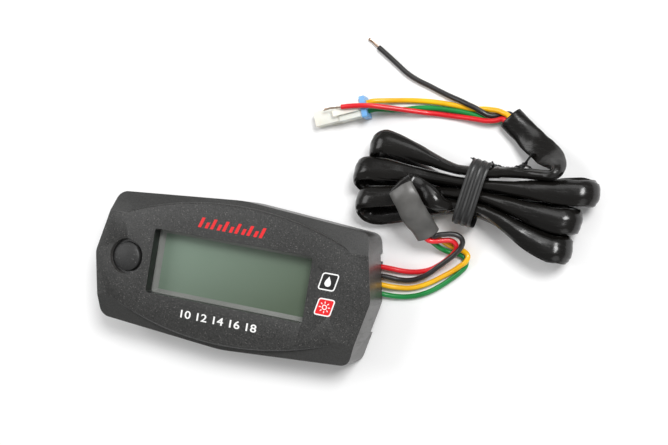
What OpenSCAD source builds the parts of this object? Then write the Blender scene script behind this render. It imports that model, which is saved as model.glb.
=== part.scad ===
// Air fuel ratio gauge for a dashboard or handlebar: a flat housing with a window, one push
// button and a four wire lead that is stored as a tied hank, with a small plug on its far end.
// The gauge lies on its back. X runs along its length, Y up its face and Z out of its face.
// The origin is on the surface that it lies on, under the middle of the housing.

/* [Body] */
// Length of the housing from tip to tip
body_l = 86.6; // [84:0.2:92]
// Amount that each tip stands out beyond the corners
tip_out = 4; // [3.4:0.2:5]
// Height of the housing at its middle
mid_h = 44; // [43:0.2:47]
// Height of the housing at its corners
corner_h = 37.8; // [37:0.2:40]
// Depth of the housing from its face to its rear edge
body_d = 15.4; // [15:0.2:18]
// Thickness of the side walls
wall_t = 2.2; // [2:0.1:2.5]
// Thickness of the face over the side pockets
face_t = 2.4; // [2:0.1:3]
// Thickness of the skirt round the rear cover
skirt_t = 1.1; // [1:0.05:1.2]
// Radius of the four corners in the outline
corner_r = 3.2; // [2:0.2:4]
// Radius of the two tips in the outline
tip_r = 5; // [3:0.5:8]
// Radius of the bend in the middle of the top and bottom edges
mid_r = 40; // [20:5:60]

/* [Face] */
// Height above the centre line at which the corner pads start to slope
crease_y = 12.7; // [12:0.1:14]
// Drop of the corner pads at the corners
pad_drop = 2.2; // [1.4:0.1:2.6]
// Height of the raised lens shape at its middle
arc_top_y = 20.3; // [19.6:0.1:20.8]
// Radius of the two long arcs
arc_r = 92; // [86:1:110]
// Chamfer on the two long arcs
arc_chamfer = 0.5; // [0.2:0.1:0.8]
// Distance from each tip of the housing to the window
window_end = 18.5; // [18:0.1:20]
// Height of the window
window_w = 19; // [16:0.2:20]
// Radius of the window's corners
window_r = 0.8; // [0.4:0.1:1.5]
// Place of the window's middle along the face
window_x = -0.2; // [-0.6:0.1:0.4]
// Depth of the window's black wall
recess_d = 3.8; // [3.4:0.1:4.2]
// Side of the two symbol labels
label_w = 5; // [4:0.2:5.6]
// Slant of the two symbol labels, sideways travel for each unit of height
label_slant_share = 0.2; // [0:0.05:0.3]
// Thickness of the labels
label_t = 0.2; // [0.1:0.05:0.4]

/* [Display] */
// Thickness of the clear window lens
lens_t = 1; // [0.8:0.1:1.2]
// Overlap of the lens behind the window's edge
lens_lap = 1.6; // [1.2:0.1:1.8]
// Thickness of the display frame's front plate
frame_t = 1.2; // [1:0.1:1.4]
// Width of the bevel round the display
bevel_w = 1.1; // [0.6:0.1:1.3]
// Thickness of each of the display's two glasses
glass_t = 1.1; // [0.7:0.1:1.2]

/* [Button] */
// Distance from the left tip of the housing to the button's middle
button_end = 10.3; // [10:0.1:10.8]
// Diameter of the button cap
cap_d = 8.6; // [7.6:0.2:8.8]
// Diameter of the ring shaped recess round the cap
ring_d = 10.6; // [10:0.1:10.8]
// Depth of the recess round the cap
ring_depth = 1.4; // [1:0.1:1.5]
// Travel of the button
button_travel = 0.5; // [0.2:0.05:0.6]
// Height of the cap's dome above the face
cap_proud = 0.5; // [0.2:0.1:0.8]

/* [Inside] */
// Thickness of the circuit board
board_t = 1.6; // [1:0.1:1.6]
// Thickness of the rear cover
cover_t = 1.6; // [1.4:0.1:1.8]
// Height of the posts that carry the board
post_h = 1.8; // [1.6:0.1:2]
// Thickness of the rubber seal
seal_t = 0.8; // [0.6:0.1:1]
// Distance from each tip of the housing to the case screws
screw_end = 9.1; // [8.8:0.1:9.6]
// Distance of the case screws from the middle along the height
screw_y = 13.6; // [13.4:0.1:13.7]
// Diameter of the case screws
screw_d = 2.2; // [2:0.1:2.3]
// Amount that the adhesive pad stands out of the rear cover
stand_t = 0.6; // [0.4:0.1:0.8]

/* [Lead] */
// Outer diameter of each wire
wire_d = 1.5; // [1.2:0.05:1.6]
// Distance between the wires where they leave the housing
wire_pitch = 2.55; // [2.2:0.05:2.6]
// Place of the lowest wire where it leaves the housing
wire_y = 2; // [1.6:0.1:2.4]
// Distance between the hank's loops where they fold
end_pitch = 8; // [7.8:0.1:8.4]
// Distance between the hank's loops under the tie
waist_pitch = 3.3; // [3.25:0.05:3.5]

/* [Hidden] */

$fn = 48;
// Overrun of every cut
cut = 1;
// Depth by which ribs and bosses run into the wall that carries them
weld = 0.3;
// Sideways clearance between parts that are laid into each other
fit_gap = 0.15;
// Clearance round things that are pressed or soldered in
snug = 0.02;
// Smallest radius left on an inner outline
least_r = 0.5;
// Number of segments in each rounded corner of an outline
arc_steps = 6;

// Lengths that follow the housing
corner_l = body_l - 2 * tip_out;
window_l = body_l - 2 * window_end;
button_x = button_end - body_l / 2;
screw_x = body_l / 2 - screw_end;

// Heights, counted from the surface that the gauge lies on
face_z = stand_t + body_d;
cover_top_z = stand_t + cover_t;
ledge_z = cover_top_z + seal_t;
board_z = cover_top_z + post_h;
board_top_z = board_z + board_t;
lens_top_z = face_z - recess_d;
lens_z = lens_top_z - lens_t;
frame_plate_z = lens_z - frame_t;
front_glass_z = frame_plate_z - glass_t;
rear_glass_z = front_glass_z - glass_t;
pocket_z = face_z - face_t;
ceiling_z = lens_top_z - 0.8 * lens_t;

pad_slope_share = pad_drop / (corner_h / 2 - crease_y);
lens_l = window_l + 2 * lens_lap;
lens_w = window_w + 2 * lens_lap;
window_y = 0.2;

// Side walls and play of the display frame
frame_wall = 1;
frame_skirt = 2 * glass_t + 0.4 * frame_t;
glass_l = lens_l - 0.8;
glass_w = lens_w - 0.2;
frame_l = glass_l + 2 * (frame_wall + fit_gap);
frame_w = glass_w + 2 * (frame_wall + fit_gap);
strip_w = 1.8;
strip_inset = 0.3;
rear_glass_w = glass_w - 2 * (strip_w + 2 * strip_inset);
rib_t = 1.2;
rib_h = 2;
rib_l_share = 0.6;
short_rib_l = 3;
short_rib_y = 9.4;

// Side pockets behind the face
pocket_l = 8.2;
pocket_w = 22;

// Button and switch
cap_r = cap_d / 2;
guide_r = cap_r + 0.08;
sleeve_r = guide_r + 1.7;
sleeve_h = 2;
cap_flange_r = cap_r + 0.9;
cap_flange_t = 1;
flange_play = 0.4;
stem_r = 1.5;
cap_edge_drop = 1.1;
button_gap = 0.05;
sleeve_z = pocket_z - sleeve_h;
switch_w = 6;
switch_h = 2.7;
plunger_r = 1.7;
plunger_out = 1.1;
plunger_in = 1;
switch_top_z = board_top_z + switch_h;
plunger_top_z = switch_top_z + plunger_out;
plunger_z = switch_top_z - plunger_in;
switch_leg = 0.7;

// Screws, bosses and posts
boss_r = 2.8;
screw_r = screw_d / 2;
screw_hole_r = screw_r + 0.05;
screw_clear_r = screw_r + fit_gap;
screw_head_r = 2;
screw_head_t = 1.2;
head_recess = screw_head_t + 0.1;
head_bore_r = screw_head_r + fit_gap;
screw_end_z = ceiling_z - 0.6;
slot_w = 0.6;
slot_l = 2.4;
slot_t = 0.7;

// Adhesive pad
pad_end = 15.3;
pad_l = body_l - 2 * pad_end;
pad_w = 22;
pad_sink = 0.4;
pad_r = 3;

// Board parts
board_gap = 0.3;
chip_w = 10;
chip_t = 1;
chip_lift = 0.15;
leg_count = 8;
leg_pitch = 1;
leg_w = 0.4;
leg_l = 1;
leg_t = 0.2;
chip_x = -2;
regulator_l = 6.5;
regulator_w = 3.5;
regulator_t = 1.5;
regulator_x = 19;
regulator_y = -8;
capacitor_r = 2.4;
capacitor_h = 4.8;
capacitor_end = 10.7;
capacitor_x = body_l / 2 - capacitor_end;
capacitor_y = -4.6;
capacitor_base_t = 0.6;
lamp_l = 1.4;
lamp_w = 3;
lamp_t = 1.1;
lamp_y_share = 0.28;
diffuser_end_gap = 0.4;

// Outlet
wire_r = wire_d / 2;
wire_z = ledge_z - wire_r - 0.3;
wire_ys = [for (i = [0:3]) wire_y + i * wire_pitch];
grommet_y = wire_y + 1.5 * wire_pitch;
grommet_w = 3 * wire_pitch + 3;
grommet_end = 2.3;
grommet_l = 4.4;
grommet_out_x = body_l / 2 - grommet_end;
grommet_in_x = grommet_out_x - grommet_l;
flange_l = 1.6;
flange_w = grommet_w + 1.2;
flange_top_z = board_z - fit_gap;
grommet_z = stand_t + 0.2;
notch_bottom_y = -9.5;
notch_top_y = 13.6;
lead_end = 9.1;
lead_x = body_l / 2 - lead_end;
lead_r = 0.35;
lead_out = 0.7;
lead_space_w = 9.6;
lead_floor_z = stand_t + 0.4;
joint_r = 0.9;
joint_top_r = 0.5;
joint_h = 0.5;

// The lead's points are given for an outlet at this place and move with the outlet
plan_out_x = 41;
lead_shift = grommet_out_x - plan_out_x;

// Sheath: half width and half thickness where it is flat, open or drawn in
tail_a = 3.75;
tail_b = 1;
mouth_a = 3.5;
mouth_b = 1.9;
waist_a = 1.42;
waist_b = 2.3;
left_a = 3.3;
left_b = 1.25;
right_a = 3.7;
right_b = 1.5;
tail_sides = 10;
hank_sides = 6;

// Hank: middle, half length of its runs and the place where it starts and ends
hank_x = 63.6;
hank_y = 34;
run_half = 26.5;
fold_r = 3.8;
waist_flat = 4.2;
spread_soft_share = 0.4;
loop_rings = 24;
fold_share = 0.25;
middle_turn_share = 1.75;
start_turn_share = 0.232;
end_turn_share = 3.286;
// Sideways travel of each fold from its plain place, and of all folds at one end
left_outs = [0, -0.4, -2.4, 1.1];
right_outs = [-1.4, -0.2, 3.2, 0];
left_y = -1;
right_y = -0.8;
// Middle height, half rise and half sideways shift of a loop at the waist and at both ends
waist_mid_z = 6.2;
waist_rise = 2.75;
waist_shift = 1.45;
left_mid_z = 6.2;
left_rise = 3.6;
left_shift = 1.3;
left_tilt = 16;
right_mid_z = 5.8;
right_rise = 3.8;
right_shift = 0.5;
right_tilt = 8;

// Tie: three turns of flat plastic over the hank's waist, then its twisted end
tie_x = 64.6;
tie_y = 34.6;
tie_z = 6.45;
tie_reach = 9.2;
tie_rise = 5.95;
tie_turn = 82;
tie_pitch = 1.8;
tie_turns = 3;
tie_rings = 18;
tie_a = 1.12;
tie_b = 0.6;
tie_square_share = 0.5;
tie_twist = 36;
tie_end_points = [
  [68.9, 42.9, 5.1], [69.8, 42.8, 4.4], [71.2, 42.6, 4.1], [72.8, 42.6, 4.1], [74.3, 42.9, 4.3],
  [75.7, 43.5, 4.8], [76.9, 44.2, 5.4], [77.8, 44.9, 6.1], [78.6, 45.4, 6.8], [79.3, 45.9, 7.5]
];

// Free end of the plug, seen from above, and its turn about the vertical
plug_x = 29.4;
plug_y = 54.7;
plug_turn = 201.2;
plug_z = 2.75;
plug_lead = 1.9;
lock_l = 1.6;
lock_w = 6.4;
lock_h = 5.4;
lock_r = 0.6;
housing_w = 5;
housing_h = 4.6;
housing_l = 7;
nose_l = 7.6;
nose_w = 4.4;
nose_h = 3.9;
terminal_pitch = 2.5;
terminal_w = 1.5;
terminal_wall = 0.25;
terminal_l = 9;
latch_w = 1.8;
latch_t = 0.6;
latch_l = 8;
latch_gap = 0.5;
key_w = 0.6;

// Bare ends of the two loose wires
strand_r = 0.42;
strand_sides = 6;
wire_sides = 8;

// Sweeps
function unit(v) = v / norm(v);
function mix(a, b, s) = a + (b - a) * s;
function ease(s) = let (c = min(1, max(0, s))) c * c * (3 - 2 * c);
function flat(lists) = [for (list = lists) for (item = list) item];

// Direction of travel at each point of a route
function headings(route) = let (last = len(route) - 1)
  [for (i = [0:last]) unit(route[min(i + 1, last)] - route[max(i - 1, 0)])];

// Width direction at each point: level and square to the route
function level_widths(heads) = [for (h = heads) unit(cross(h, [0, 0, 1]))];

// Width direction from hand set compass angles
function set_widths(heads, angles) = [for (i = [0:len(heads) - 1])
  let (w = [cos(angles[i]), sin(angles[i]), 0]) unit(w - heads[i] * (w * heads[i]))];

function ring_points(centre, head, width, a, b, sides, phase) = let (lift = cross(head, width))
  [for (k = [0:sides - 1]) let (g = phase + 360 * k / sides)
    centre + width * a * cos(g) + lift * b * sin(g)];

function sweep_points(route, heads, widths, half_widths, half_heights, sides, phase = 0) =
  flat([for (i = [0:len(route) - 1])
    ring_points(route[i], heads[i], widths[i], half_widths[i], half_heights[i], sides, phase)]);

// Closed tube through rings of points, in triangles
module skin(points, rings, sides) {
  function at(i, k) = i * sides + k % sides;
  walls = flat([for (i = [0:rings - 2]) for (k = [0:sides - 1])
    [[at(i, k), at(i + 1, k), at(i + 1, k + 1)], [at(i, k), at(i + 1, k + 1), at(i, k + 1)]]]);
  first = [for (k = [1:sides - 2]) [0, k, k + 1]];
  last = [for (k = [1:sides - 2]) [at(rings - 1, 0), at(rings - 1, k + 1), at(rings - 1, k)]];
  polyhedron(points = points, faces = concat(walls, first, last));
}

module round_tube(route, r, sides) {
  heads = headings(route);
  same = [for (p = route) r];
  skin(sweep_points(route, heads, level_widths(heads), same, same, sides), len(route), sides);
}

// Outlines
// Each corner of a loop of points, moved inwards by the inset
function inset_points(points, inset) = let (n = len(points)) [for (i = [0:n - 1])
  let (
    a = unit(points[i] - points[(i + n - 1) % n]),
    b = unit(points[(i + 1) % n] - points[i]),
    na = [-a.y, a.x],
    nb = [-b.y, b.x]
  ) points[i] + inset * (na + nb) / (1 + na * nb)];

// Each corner of a loop of points, rounded to its radius
function rounded_points(points, radii) = let (n = len(points)) flat([for (i = [0:n - 1])
  let (
    p = points[i],
    a = unit(points[(i + n - 1) % n] - p),
    b = unit(points[(i + 1) % n] - p),
    half = acos(a * b) / 2,
    centre = p + unit(a + b) * radii[i] / sin(half),
    from = p + a * radii[i] / tan(half) - centre
  ) [for (k = [0:arc_steps])
    let (g = (180 - 2 * half) * k / arc_steps)
    centre + [from.x * cos(g) - from.y * sin(g), from.x * sin(g) + from.y * cos(g)]]]);

body_points = [
  [body_l / 2, 0], [corner_l / 2, corner_h / 2], [0, mid_h / 2], [-corner_l / 2, corner_h / 2],
  [-body_l / 2, 0], [-corner_l / 2, -corner_h / 2], [0, -mid_h / 2], [corner_l / 2, -corner_h / 2]
];
body_radii = [tip_r, corner_r, mid_r, corner_r, tip_r, corner_r, mid_r, corner_r];

module body_outline(inset) {
  polygon(rounded_points(inset_points(body_points, inset),
    [for (r = body_radii) max(least_r, r - inset)]));
}

module rounded_plate(l, w, t, r) {
  linear_extrude(t) polygon(rounded_points(
    [[-l / 2, -w / 2], [l / 2, -w / 2], [l / 2, w / 2], [-l / 2, w / 2]], [r, r, r, r]));
}

module centred_box(l, w, h) {
  translate([-l / 2, -w / 2, 0]) cube([l, w, h]);
}

module at_screws() {
  for (sx = [-1, 1], sy = [-1, 1]) translate([sx * screw_x, sy * screw_y, 0]) children();
}

module at_lead() {
  translate([lead_shift, 0, 0]) children();
}

module at_window(z) {
  translate([window_x, window_y, z]) children();
}

// Housing
// Half of the raised lens shape, a disc with a chamfered rim
module arc_disc() {
  straight_d = body_d - arc_chamfer;
  cylinder(r = arc_r, h = straight_d, $fn = 96);
  translate([0, 0, straight_d])
    cylinder(r1 = arc_r, r2 = arc_r - arc_chamfer, h = arc_chamfer, $fn = 96);
}

module bezel_form() {
  roof_y = mid_h / 2 + cut;
  roof_z = face_z - pad_slope_share * (roof_y - crease_y);
  intersection() {
    translate([0, 0, stand_t]) linear_extrude(body_d) body_outline(0);
    union() {
      intersection() {
        translate([0, arc_top_y - arc_r, stand_t]) arc_disc();
        translate([0, arc_r - arc_top_y, stand_t]) arc_disc();
      }
      rotate([90, 0, 90]) translate([0, 0, -body_l / 2 - cut]) linear_extrude(body_l + 2 * cut)
        polygon([[-roof_y, stand_t - cut], [roof_y, stand_t - cut], [roof_y, roof_z],
          [crease_y, face_z], [-crease_y, face_z], [-roof_y, roof_z]]);
    }
  }
}

module bezel_space() {
  translate([0, 0, stand_t - cut]) {
    linear_extrude(ledge_z - stand_t + cut) body_outline(skirt_t);
    linear_extrude(ceiling_z - stand_t + cut) body_outline(wall_t);
  }
  at_window(lens_z) rounded_plate(lens_l + 2 * fit_gap, lens_w + 2 * fit_gap, lens_t, window_r);
  pocket_x = lens_l / 2 + rib_t + pocket_l / 2 + weld;
  for (side = [-1, 1]) translate([window_x + side * pocket_x, 0, ceiling_z - cut])
    centred_box(pocket_l, pocket_w, pocket_z - ceiling_z + cut);
}

module frame_ribs() {
  rib_z = ceiling_z - rib_h;
  for (side = [-1, 1]) at_window(rib_z) {
    for (up = [-1, 1]) translate([side * (frame_l / 2 + fit_gap + rib_t / 2), up * short_rib_y, 0])
      centred_box(rib_t, short_rib_l, rib_h + weld);
    translate([0, side * (frame_w / 2 + fit_gap + rib_t / 2), 0])
      centred_box(rib_l_share * frame_l, rib_t, rib_h + weld);
  }
}

module label_form(t) {
  half = label_w / 2;
  lean = label_slant_share * half;
  linear_extrude(t) polygon(rounded_points(
    [[-half - lean, -half], [half - lean, -half], [half + lean, half], [-half + lean, half]],
    [for (i = [0:3]) label_w / 6]));
}

label_end = 12.9;
label_x = body_l / 2 - label_end;
label_y = 3.6;

module front_bezel() color("#3c3c3a") difference() {
  union() {
    difference() {
      bezel_form();
      bezel_space();
    }
    translate([0, 0, board_top_z]) at_screws() cylinder(r = boss_r, h = ceiling_z - board_top_z + weld);
    translate([button_x, 0, sleeve_z]) cylinder(r = sleeve_r, h = sleeve_h + weld);
    frame_ribs();
  }
  at_window(lens_z) rounded_plate(window_l, window_w, recess_d + lens_t + cut, window_r);
  translate([button_x, 0, sleeve_z - cut]) cylinder(r = guide_r, h = body_d);
  translate([button_x, 0, ceiling_z - cut])
    cylinder(r = cap_flange_r + flange_play, h = sleeve_z - ceiling_z + cut);
  translate([button_x, 0, face_z - ring_depth]) cylinder(r = ring_d / 2, h = ring_depth + cut);
  for (side = [-1, 1]) translate([label_x, side * label_y, face_z - label_t]) label_form(label_t + cut);
  translate([0, 0, board_top_z - cut]) at_screws()
    cylinder(r = screw_hole_r, h = ceiling_z - board_top_z + cut);
  translate([grommet_in_x, notch_bottom_y, stand_t - cut])
    cube([body_l / 2, notch_top_y - notch_bottom_y, ledge_z - stand_t + cut]);
}

module rear_cover() color("#2c2c2b") difference() {
  union() {
    translate([0, 0, stand_t]) linear_extrude(cover_t) body_outline(skirt_t + fit_gap);
    translate([0, 0, stand_t]) at_screws() cylinder(r = boss_r, h = cover_t + post_h);
  }
  translate([0, 0, stand_t - cut])
    rounded_plate(pad_l + 2 * fit_gap, pad_w + 2 * fit_gap, cut + pad_sink, pad_r);
  translate([0, 0, stand_t - cut]) at_screws() {
    cylinder(r = head_bore_r, h = cut + head_recess);
    cylinder(r = screw_clear_r, h = cover_t + post_h + 2 * cut);
  }
  translate([grommet_in_x - fit_gap, grommet_y - grommet_w / 2 - fit_gap, stand_t - cut])
    cube([body_l / 2, grommet_w + 2 * fit_gap, cover_t + 2 * cut]);
  translate([grommet_in_x - fit_gap, grommet_y - flange_w / 2 - fit_gap, stand_t - cut])
    cube([flange_l + 2 * fit_gap, flange_w + 2 * fit_gap, cover_t + 2 * cut]);
  translate([lead_x - lead_out - fit_gap, grommet_y - lead_space_w / 2, lead_floor_z])
    cube([grommet_in_x - lead_x + lead_out, lead_space_w, cover_t + cut]);
}

module case_seal() color("#1a1a1a") difference() {
  translate([0, 0, cover_top_z]) linear_extrude(seal_t) body_outline(skirt_t + fit_gap);
  translate([0, 0, cover_top_z - cut]) linear_extrude(seal_t + 2 * cut) body_outline(wall_t - fit_gap);
  translate([grommet_in_x - fit_gap, grommet_y - grommet_w / 2 - fit_gap, cover_top_z - cut])
    cube([body_l / 2, grommet_w + 2 * fit_gap, seal_t + 2 * cut]);
}

module case_screws() color("silver")
  translate([0, 0, stand_t + head_recess - screw_head_t]) at_screws() difference() {
  union() {
    cylinder(r = screw_head_r, h = screw_head_t);
    cylinder(r = screw_r, h = screw_end_z - stand_t - head_recess + screw_head_t);
  }
  for (turn = [0, 90]) rotate(turn) translate([0, 0, -cut]) centred_box(slot_l, slot_w, slot_t + cut);
}

module adhesive_pad() color("#d8d8d4") rounded_plate(pad_l, pad_w, stand_t + pad_sink, pad_r);

module upper_label() color("#f2f2f0") translate([label_x, label_y, face_z - label_t]) label_form(label_t);

module lower_label() color("#d8202c") translate([label_x, -label_y, face_z - label_t]) label_form(label_t);

// Display
module window_lens() color([0.85, 0.9, 0.88, 0.35])
  at_window(lens_z) rounded_plate(lens_l, lens_w, lens_t, window_r);

// Four sided hopper that narrows downwards
module hopper(l, w, low_l, low_w, h) {
  polyhedron(
    points = [
      [-low_l / 2, -low_w / 2, 0], [low_l / 2, -low_w / 2, 0],
      [low_l / 2, low_w / 2, 0], [-low_l / 2, low_w / 2, 0],
      [-l / 2, -w / 2, h], [l / 2, -w / 2, h], [l / 2, w / 2, h], [-l / 2, w / 2, h]
    ],
    faces = [[0, 1, 2, 3], [7, 6, 5, 4], [0, 4, 5, 1], [1, 5, 6, 2], [2, 6, 7, 3], [3, 7, 4, 0]]
  );
}

module display_frame() color("#a9a9a4") at_window(0) difference() {
  translate([0, 0, frame_plate_z - frame_skirt])
    rounded_plate(frame_l, frame_w, frame_t + frame_skirt, window_r);
  translate([0, 0, frame_plate_z - frame_skirt - cut])
    centred_box(glass_l + 2 * fit_gap, glass_w + 2 * fit_gap, frame_skirt + cut);
  over_share = 2;
  translate([0, 0, frame_plate_z - frame_t * (over_share - 1) / 2])
    hopper(window_l + bevel_w, window_w + bevel_w, window_l - 3 * bevel_w, window_w - 3 * bevel_w,
      frame_t * over_share);
}

module display_front_glass() color("#6c8470")
  at_window(front_glass_z) centred_box(glass_l, glass_w, glass_t);

module display_rear_glass() color("#5c7060")
  at_window(rear_glass_z) centred_box(glass_l, rear_glass_w, glass_t);

diffuser_l = glass_l - 2 * frame_wall;
module backlight_diffuser() color("#ececea")
  at_window(board_top_z) centred_box(diffuser_l, rear_glass_w, rear_glass_z - board_top_z);

module backlight_lamps() color("#f4f4d8") at_window(board_top_z) for (side = [-1, 1])
  translate([diffuser_l / 2 + diffuser_end_gap + lamp_l / 2, side * lamp_y_share * rear_glass_w, 0])
    centred_box(lamp_l, lamp_w, lamp_t);

module contact_strips() color("#4c4c58") for (side = [-1, 1])
  at_window(board_top_z) translate([0, side * (glass_w / 2 - strip_inset - strip_w / 2), 0])
    centred_box(diffuser_l, strip_w, front_glass_z - board_top_z);

// Board
module circuit_board() color("#1d5b34") difference() {
  translate([0, 0, board_z]) linear_extrude(board_t) body_outline(wall_t + board_gap);
  translate([0, 0, board_z - cut]) at_screws() cylinder(r = screw_clear_r, h = board_t + 2 * cut);
  for (y = wire_ys) translate([lead_x, y, board_z - cut]) cylinder(r = lead_r + snug, h = board_t + 2 * cut);
}

module micro_chip() color("#222222") translate([chip_x, 0, board_z]) mirror([0, 0, 1]) {
  translate([0, 0, chip_lift]) centred_box(chip_w, chip_w, chip_t);
  for (turn = [0, 90, 180, 270], i = [0:leg_count - 1]) rotate(turn)
    translate([chip_w / 2 + leg_l / 2 - weld, (i - (leg_count - 1) / 2) * leg_pitch, 0])
      centred_box(leg_l, leg_w, leg_t);
}

module voltage_regulator() color("#222222")
  translate([regulator_x, regulator_y, board_z]) mirror([0, 0, 1]) {
  centred_box(regulator_l, regulator_w, regulator_t);
  for (i = [-1, 0, 1]) translate([i * regulator_l / 3, -regulator_w / 2 - leg_l / 2 + weld, 0])
    centred_box(2 * leg_w, leg_l, leg_t);
  translate([0, regulator_w / 2 + leg_l / 2 - weld, 0]) centred_box(regulator_l / 2, leg_l, leg_t);
}

module smoothing_capacitor() color("#9a9aa2") translate([capacitor_x, capacitor_y, board_top_z]) {
  centred_box(2 * capacitor_r, 2 * capacitor_r, capacitor_base_t);
  cylinder(r = capacitor_r, h = capacitor_h);
}

// Button
module button_cap() color("#2a2a29") {
  flange_z = sleeve_z - button_gap;
  edge_z = face_z + cap_proud - cap_edge_drop;
  dome_steps = 8;
  dome = [for (k = [0:dome_steps]) let (g = 90 * k / dome_steps)
    [cap_r * cos(g), edge_z + cap_edge_drop * sin(g)]];
  translate([button_x, 0, 0]) rotate_extrude() polygon(concat(
    [[0, plunger_top_z + button_gap], [stem_r, plunger_top_z + button_gap],
      [stem_r, flange_z - cap_flange_t], [cap_flange_r, flange_z - cap_flange_t],
      [cap_flange_r, flange_z], [cap_r, flange_z]],
    dome));
}

module switch_body() color("#303030") translate([button_x, 0, board_top_z]) difference() {
  union() {
    centred_box(switch_w, switch_w, switch_h);
    for (sx = [-1, 1], sy = [-1, 1]) translate([sx * switch_w / 2, sy * switch_w / 3, 0])
      centred_box(2 * switch_leg, switch_leg, leg_t);
  }
  translate([0, 0, switch_h - plunger_in - button_travel - button_gap])
    cylinder(r = plunger_r + snug + button_gap, h = plunger_in + button_travel + cut);
}

module switch_plunger() color("#c8b48c")
  translate([button_x, 0, plunger_z]) cylinder(r = plunger_r, h = plunger_top_z - plunger_z);

// Outlet
module wire_grommet() color("#151515") difference() {
  union() {
    translate([grommet_in_x, grommet_y - grommet_w / 2, grommet_z])
      cube([grommet_out_x - grommet_in_x, grommet_w, ledge_z - grommet_z]);
    translate([grommet_in_x, grommet_y - flange_w / 2, grommet_z])
      cube([flange_l, flange_w, flange_top_z - grommet_z]);
  }
  for (y = wire_ys) translate([grommet_in_x - cut, y, wire_z]) rotate([0, 90, 0])
    cylinder(r = wire_r + snug, h = grommet_out_x - grommet_in_x + 2 * cut);
}

module inner_leads() color("#b8863c") for (y = wire_ys) {
  translate([lead_x - lead_out, y, wire_z]) rotate([0, 90, 0])
    cylinder(r = wire_r, h = grommet_out_x - lead_x + lead_out);
  translate([lead_x, y, wire_z]) cylinder(r = lead_r, h = board_top_z + joint_h - wire_z);
}

module solder_joints() color("#c4c4c4") for (y = wire_ys) translate([lead_x, y, board_top_z]) difference() {
  cylinder(r1 = joint_r, r2 = joint_top_r, h = joint_h);
  translate([0, 0, -cut]) cylinder(r = lead_r + snug, h = joint_h + 2 * cut);
}

// Hank
// Place of a loop's phase along its run and up its height: folds are half circles
function loop_place(turn) = let (
    f = turn - floor(turn),
    half = fold_share / 2,
    run = 0.5 - fold_share
  )
  f < half ? let (g = 180 - 90 * f / half) [-run_half + fold_r * cos(g), sin(g)] :
  f < half + run ? [mix(-run_half, run_half, (f - half) / run), 1] :
  f < 0.5 + half ? let (g = 90 - 90 * (f - half - run) / half) [run_half + fold_r * cos(g), sin(g)] :
  f < 0.5 + half + run ? [mix(run_half, -run_half, (f - 0.5 - half) / run), -1] :
  let (g = 270 - 90 * (f - 0.5 - half - run) / half) [-run_half + fold_r * cos(g), sin(g)];

// A value that goes from the waist to the end that the point is nearer to
function along(dx, waist, left, right) = let (s = (abs(dx) - waist_flat) / (run_half - waist_flat))
  mix(waist, dx < 0 ? left : right, mix(min(1, max(0, s)), ease(s), spread_soft_share));

// Travel of the fold that a point belongs to
function fold_out(turn, dx) =
  (dx < 0 ? left_outs[floor(turn + 0.5)] : right_outs[floor(turn)]) * ease(abs(dx) / run_half);

function hank_point(turn) = let (
    place = loop_place(turn),
    dx = place[0],
    up = place[1],
    count = turn - middle_turn_share
  ) [
    hank_x + dx + fold_out(turn, dx),
    hank_y + along(dx, 0, left_y, right_y) + count * along(dx, waist_pitch, end_pitch, end_pitch)
      + up * along(dx, waist_shift, left_shift, right_shift),
    along(dx, waist_mid_z, left_mid_z, right_mid_z) + up * along(dx, waist_rise, left_rise, right_rise)
  ];

hank_ring_count = ceil((end_turn_share - start_turn_share) * loop_rings);
hank_turns = [for (i = [0:hank_ring_count]) mix(start_turn_share, end_turn_share, i / hank_ring_count)];
hank_route = [for (t = hank_turns) hank_point(t)];
hank_spans = [for (t = hank_turns) loop_place(t)[0]];
hank_heads = let (h = headings(hank_route))
  concat([[1, 0, 0]], [for (i = [1:hank_ring_count - 1]) h[i]], [[1, 0, 0]]);
hank_widths = [for (i = [0:hank_ring_count])
  let (g = along(hank_spans[i], 0, left_tilt, right_tilt), w = [0, cos(g), -sin(g)])
  unit(w - hank_heads[i] * (w * hank_heads[i]))];
hank_as = [for (dx = hank_spans) along(dx, waist_a, left_a, right_a)];
hank_bs = [for (dx = hank_spans) along(dx, waist_b, left_b, right_b)];
hank_points = sweep_points(hank_route, hank_heads, hank_widths, hank_as, hank_bs, hank_sides);

// Least distance between the points of rings that lie more than a third of a loop apart
function least_gap(points, rings, sides, apart) = min([for (i = [0:rings - 1 - apart])
  min([for (j = [i + apart:rings - 1]) norm(points[i * sides] - points[j * sides]) > 14 ? 99 :
    min([for (k = [0:sides - 1]) for (m = [0:sides - 1])
      norm(points[i * sides + k] - points[j * sides + m])])])]);

module sheath_hank() {
  echo(hank_gap_mm = least_gap(hank_points, hank_ring_count + 1, hank_sides, 8));
  color("#1c1b1a") at_lead() skin(hank_points, hank_ring_count + 1, hank_sides);
}

// Route of the sheath's near tail, from its open mouth over the fold to the hank
near_tail_points = [
  [54.2, 21.3, 7], [53.3, 22.6, 8.4], [52.4, 23.9, 10.5], [51.5, 25.2, 12.7], [50.6, 26.6, 14.4],
  [49.8, 28.1, 15.4], [48.9, 29.6, 16], [48, 30.8, 16.3], [47.1, 31.9, 16.2], [46.3, 32.9, 15.8],
  [45.9, 33.5, 15], [46, 33.7, 13.9], [46.7, 33.6, 13], [47.9, 33.4, 12.5], [49.4, 33.1, 12.4],
  [51, 32.7, 12.4], [52.7, 32.3, 12.5], [54.3, 31.6, 12.5], [55.9, 30.6, 12.2], [57.3, 30.1, 11.2],
  [58.6, 30.1, 10]
];
near_tail_angles = [42, 42, 42, 42, 42, 42, 42, 43, 45, 47, 49, 52, 56, 60, 66, 71, 76, 80, 83, 86, 86, 90];
near_flat_shares = [1, 1, 1, 1, 1, 1, 1, 1, 1, 1, 1, 1, 1, 1, 0.95, 0.9, 0.8, 0.65, 0.5, 0.35, 0.2, 0];
near_tail_route = concat(near_tail_points, [hank_route[0]]);

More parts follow.
